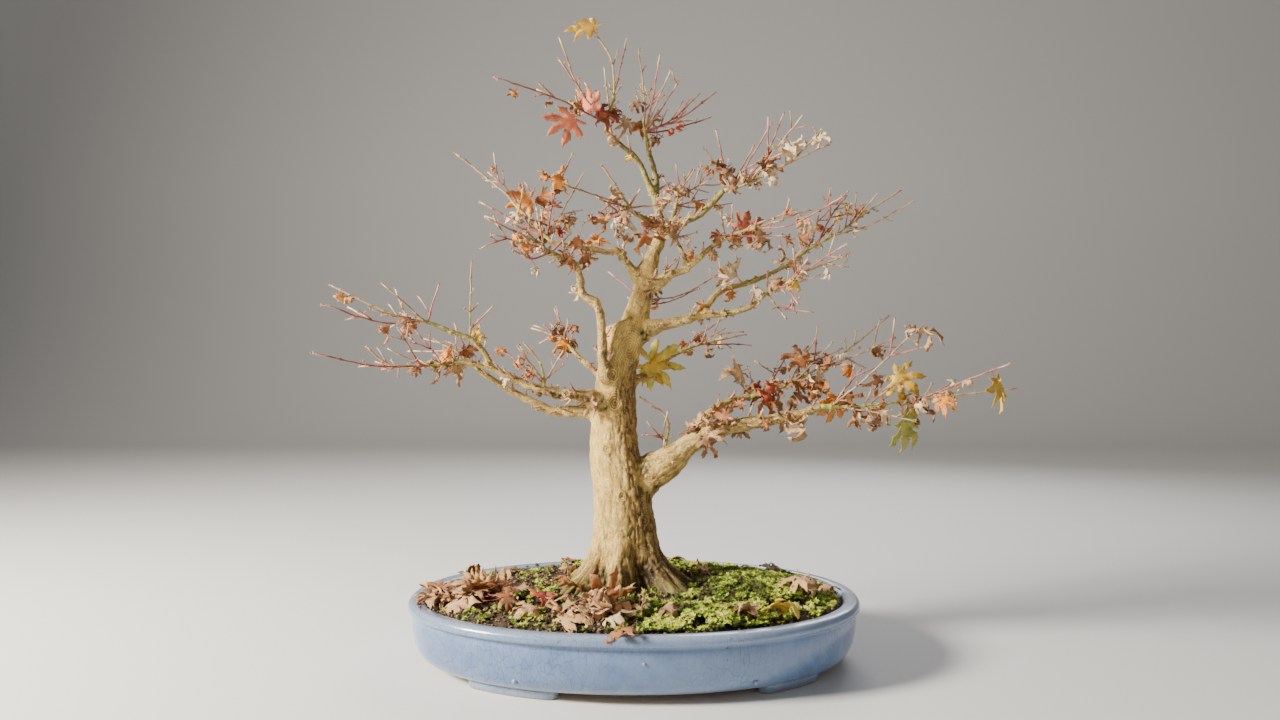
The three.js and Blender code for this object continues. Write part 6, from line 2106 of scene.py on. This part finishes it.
# %% Grains on the soil
GRAINS = 6200
GOLDEN = (1 + 5**0.5) / 2
GRAIN_POINTS = unit(np.array([
    (-1, GOLDEN, 0), (1, GOLDEN, 0), (-1, -GOLDEN, 0), (1, -GOLDEN, 0), (0, -1, GOLDEN), (0, 1, GOLDEN),
    (0, -1, -GOLDEN), (0, 1, -GOLDEN), (GOLDEN, 0, -1), (GOLDEN, 0, 1), (-GOLDEN, 0, -1), (-GOLDEN, 0, 1),
]))
GRAIN_FACES = [
    (0, 11, 5), (0, 5, 1), (0, 1, 7), (0, 7, 10), (0, 10, 11), (1, 5, 9), (5, 11, 4),
    (11, 10, 2), (10, 7, 6), (7, 1, 8), (3, 9, 4), (3, 4, 2), (3, 2, 6), (3, 6, 8),
    (3, 8, 9), (4, 9, 5), (2, 4, 11), (6, 2, 10), (8, 6, 7), (9, 8, 1),
]
GRAIN_BROWNS = (rgb(0.055, 0.035, 0.018), rgb(0.24, 0.17, 0.09))


def spread_over_pot(dice, count, inset):
    """Places spread evenly over the oval inside an inset."""
    x = POT_MIDDLE + (POT_HALF_LENGTH - inset) * dice.uniform(-1, 1, 3 * count)
    y = (POT_HALF_DEPTH - inset) * dice.uniform(-1, 1, 3 * count)
    kept = outwardness(x, y, inset) < 1
    return x[kept][:count], y[kept][:count]


def scattered(dice, middles, sizes, shape, squeeze=0.35):
    """Copies of a shape at the middles, each with its own size, squeeze and turn."""
    count = len(middles)
    scale = sizes[:, None] * dice.uniform(1 - squeeze, 1 + squeeze, (count, 3))
    turn, tip = dice.uniform(0, 2 * np.pi, count), dice.normal(0, 0.5, count)
    x, y, z = (shape[None] * scale[:, None]).transpose(2, 1, 0)
    y, z = y * np.cos(tip) - z * np.sin(tip), y * np.sin(tip) + z * np.cos(tip)
    x, y = x * np.cos(turn) - y * np.sin(turn), x * np.sin(turn) + y * np.cos(turn)
    return middles[:, None] + np.stack([x, y, z]).transpose(2, 1, 0)


def all_copies(shapes, faces):
    """Points and faces of many copies of one shape, given as (copies, points, 3)."""
    count, size = shapes.shape[:2]
    starts = size * np.arange(count)[:, None, None]
    return shapes.reshape(-1, 3), (np.array(faces) + starts).reshape(-1, len(faces[0])).tolist()


dice = np.random.default_rng(5)
x, y = spread_over_pot(dice, GRAINS, SOIL_INSET + 1.5)
sizes = between((0.5, 2.1), dice.uniform(0, 1, len(x)) ** 2.2)
grain_middles = np.column_stack([x, y, ground(x, y) + 0.25 * sizes + 0.6])
grains = scattered(dice, grain_middles, sizes, GRAIN_POINTS)
grains += dice.normal(0, 0.09, grains.shape) * sizes[:, None, None]
grain_paint = dotted_finish("soil_grains", (0.86, 0.25), GRAIN_BROWNS, (260.0, 0.05), (1400.0, 0.4, 0.5),
                            (0.5, 0.0003))
piece_of(mesh_of("grains", *all_copies(grains, GRAIN_FACES), smooth=False), grain_paint)

# %% [markdown]
# ## The moss
#
# The moss grows as a thin carpet over the right half of the pot and in cushions, with soil showing
# between the patches. How thick it is at a place comes from one function, made of a slope to the
# right, the cushions and three sizes of noise. The bed and its stars both ask this function.

# %% Where the moss grows
CARPET_FROM = -8
CARPET_SOFT = 46


def flat_points(x, y):
    return np.column_stack([x, y, np.zeros(len(x))])


def moss_cover(x, y):
    """How thick the moss is at a place, from 0 to 1."""
    points = flat_points(x, y)
    patchy = 0.5 * lumps(points, 34.0, 2.5) + 0.75 * lumps(points, 13.0, 6.5) + 0.9 * lumps(points, 5.5, 9.5)
    carpet = np.clip((x - CARPET_FROM - 0.25 * y) / CARPET_SOFT, 0, 1)
    left = 0.45 * bell(x + 75, 45) * bell(y + 66, 50)
    by_trunk = 0.5 * bell(x - 60, 32) * bell(y + 30, 52)
    thick = 0.72 * carpet + 0.45 * mound(x, y, CUSHIONS) / 8 + left - by_trunk
    return np.clip(thick + 1.15 * patchy - 0.44 - 0.9 * np.clip(mound(x, y, HEAPS) / 6, 0, 1), 0, 1)


def moss_top(x, y, cover):
    rise = mound(x, y, CUSHIONS) * 0.6 * (1.0 + 0.4 * lumps(flat_points(x, y), 8.0, 1.5))
    return ground(x, y) + rise + (1.2 + 3.4 * np.sqrt(cover)) * np.clip(3 * cover, 0, 1)


def moss_finish(name, colors):
    return dotted_finish("moss_" + name, (0.8, 0.25), colors, (320.0, 0.15), (1500.0, 0.4, 0.5),
                         (0.4, 0.0002))


print("Moss by the right rim is", round(float(moss_cover(np.array([150.0]), np.zeros(1))[0]), 2), "thick")

# %% [markdown]
# Up close, moss is thousands of tiny stars of pointed leaflets. A lumpy bed under them gives the
# cushions their shape and hides the soil. It is a grid from which the bare squares are left out.

# %% The moss bed
BED_STEP_MM = 2.6
BED_GREENS = (rgb(0.02, 0.03, 0.006), rgb(0.09, 0.12, 0.02))
columns = np.arange(POT_MIDDLE - POT_HALF_LENGTH, POT_MIDDLE + POT_HALF_LENGTH, BED_STEP_MM)
rows = np.arange(-POT_HALF_DEPTH, POT_HALF_DEPTH, BED_STEP_MM)
x, y = (grid.ravel() for grid in np.meshgrid(columns, rows))
cover = moss_cover(x, y)
bed_points = np.column_stack([x, y, moss_top(x, y, cover) - 1.1 * (cover < 0.06) - 0.5])
bed_points[:, :2] += 0.8 * wander(bed_points, 4.0, 1.0, 5.0)
useful = (cover > 0.05) & (outwardness(x, y, SOIL_INSET + 2) < 1)
corner = (len(columns) * np.arange(len(rows) - 1)[:, None] + np.arange(len(columns) - 1)).reshape(-1, 1)
squares = corner + [0, 1, 1 + len(columns), len(columns)]
used, squares = np.unique(squares[useful[squares].all(axis=1)], return_inverse=True)
bed = mesh_of("moss_bed", bed_points[used], squares.reshape(-1, 4).tolist())
piece_of(bed, moss_finish("bed", BED_GREENS), ["moss_right", "moss_front", "moss_left", "moss_back"])

# %% [markdown]
# The stars stand thickest where the carpet is thick. Their greens go from olive to yellow in
# drifts, and they are darker in a patch right of the trunk.

# %% Stars of leaflets
STARS = 15500
STAR_LEAFLETS = 6
# The two colours of each band of tone, in the order in which the bands are made.
MOSS_GREENS = {
    "bright": (rgb(0.42, 0.54, 0.035), rgb(0.78, 0.84, 0.13)),
    "yellow": (rgb(0.76, 0.74, 0.1), rgb(1.0, 0.98, 0.4)),
    "deep": (rgb(0.08, 0.16, 0.018), rgb(0.23, 0.33, 0.045)),
    "olive": (rgb(0.06, 0.055, 0.015), rgb(0.2, 0.16, 0.05)),
}
# The tone from which each band starts.
TONES_FROM = {"olive": -9.0, "deep": 0.14, "bright": 0.4, "yellow": 0.74}

star_points = [(0, 0, 0.25)]
star_faces = []
for k in range(STAR_LEAFLETS):
    lift = 0.75 if k % 2 else 0.4
    turn = 2 * math.pi * k / STAR_LEAFLETS
    c, s = math.cos(turn), math.sin(turn)
    first = len(star_points)
    star_points += [(0.5 * c - 0.2 * s, 0.5 * s + 0.2 * c, 0.3 + 0.5 * lift), (c, s, 0.35 + lift),
                    (0.5 * c + 0.2 * s, 0.5 * s - 0.2 * c, 0.3 + 0.5 * lift)]
    star_faces += [(0, first, first + 1), (0, first + 1, first + 2)]

dice = np.random.default_rng(11)
x, y = spread_over_pot(dice, 4 * STARS, SOIL_INSET + 2)
cover = moss_cover(x, y)
kept = np.flatnonzero(dice.uniform(0.02, 0.45, len(x)) < cover)[:STARS]
x, y, cover = x[kept], y[kept], cover[kept]
sizes = dice.uniform(0.9, 2.3, len(x))
star_middles = np.column_stack([x, y, moss_top(x, y, cover) - 0.7 + dice.uniform(-0.3, 0.9, len(x))])
stars = scattered(dice, star_middles, sizes, np.array(star_points), 0.2)
tone = 0.4 + 0.7 * lumps(star_middles, 22.0, 3.5) + 0.5 * lumps(star_middles, 6.0, 1.5)
tone += dice.normal(0, 0.16, len(x)) - 0.35 * bell(x - 58, 40) * bell(y - 10, 45)
band = np.digitize(tone, list(TONES_FROM.values())) - 1
for name, colors in MOSS_GREENS.items():
    chosen = stars[band == list(TONES_FROM).index(name)]
    mesh = mesh_of("moss_stars_" + name, *all_copies(chosen, star_faces))
    piece_of(mesh, moss_finish(name, colors))
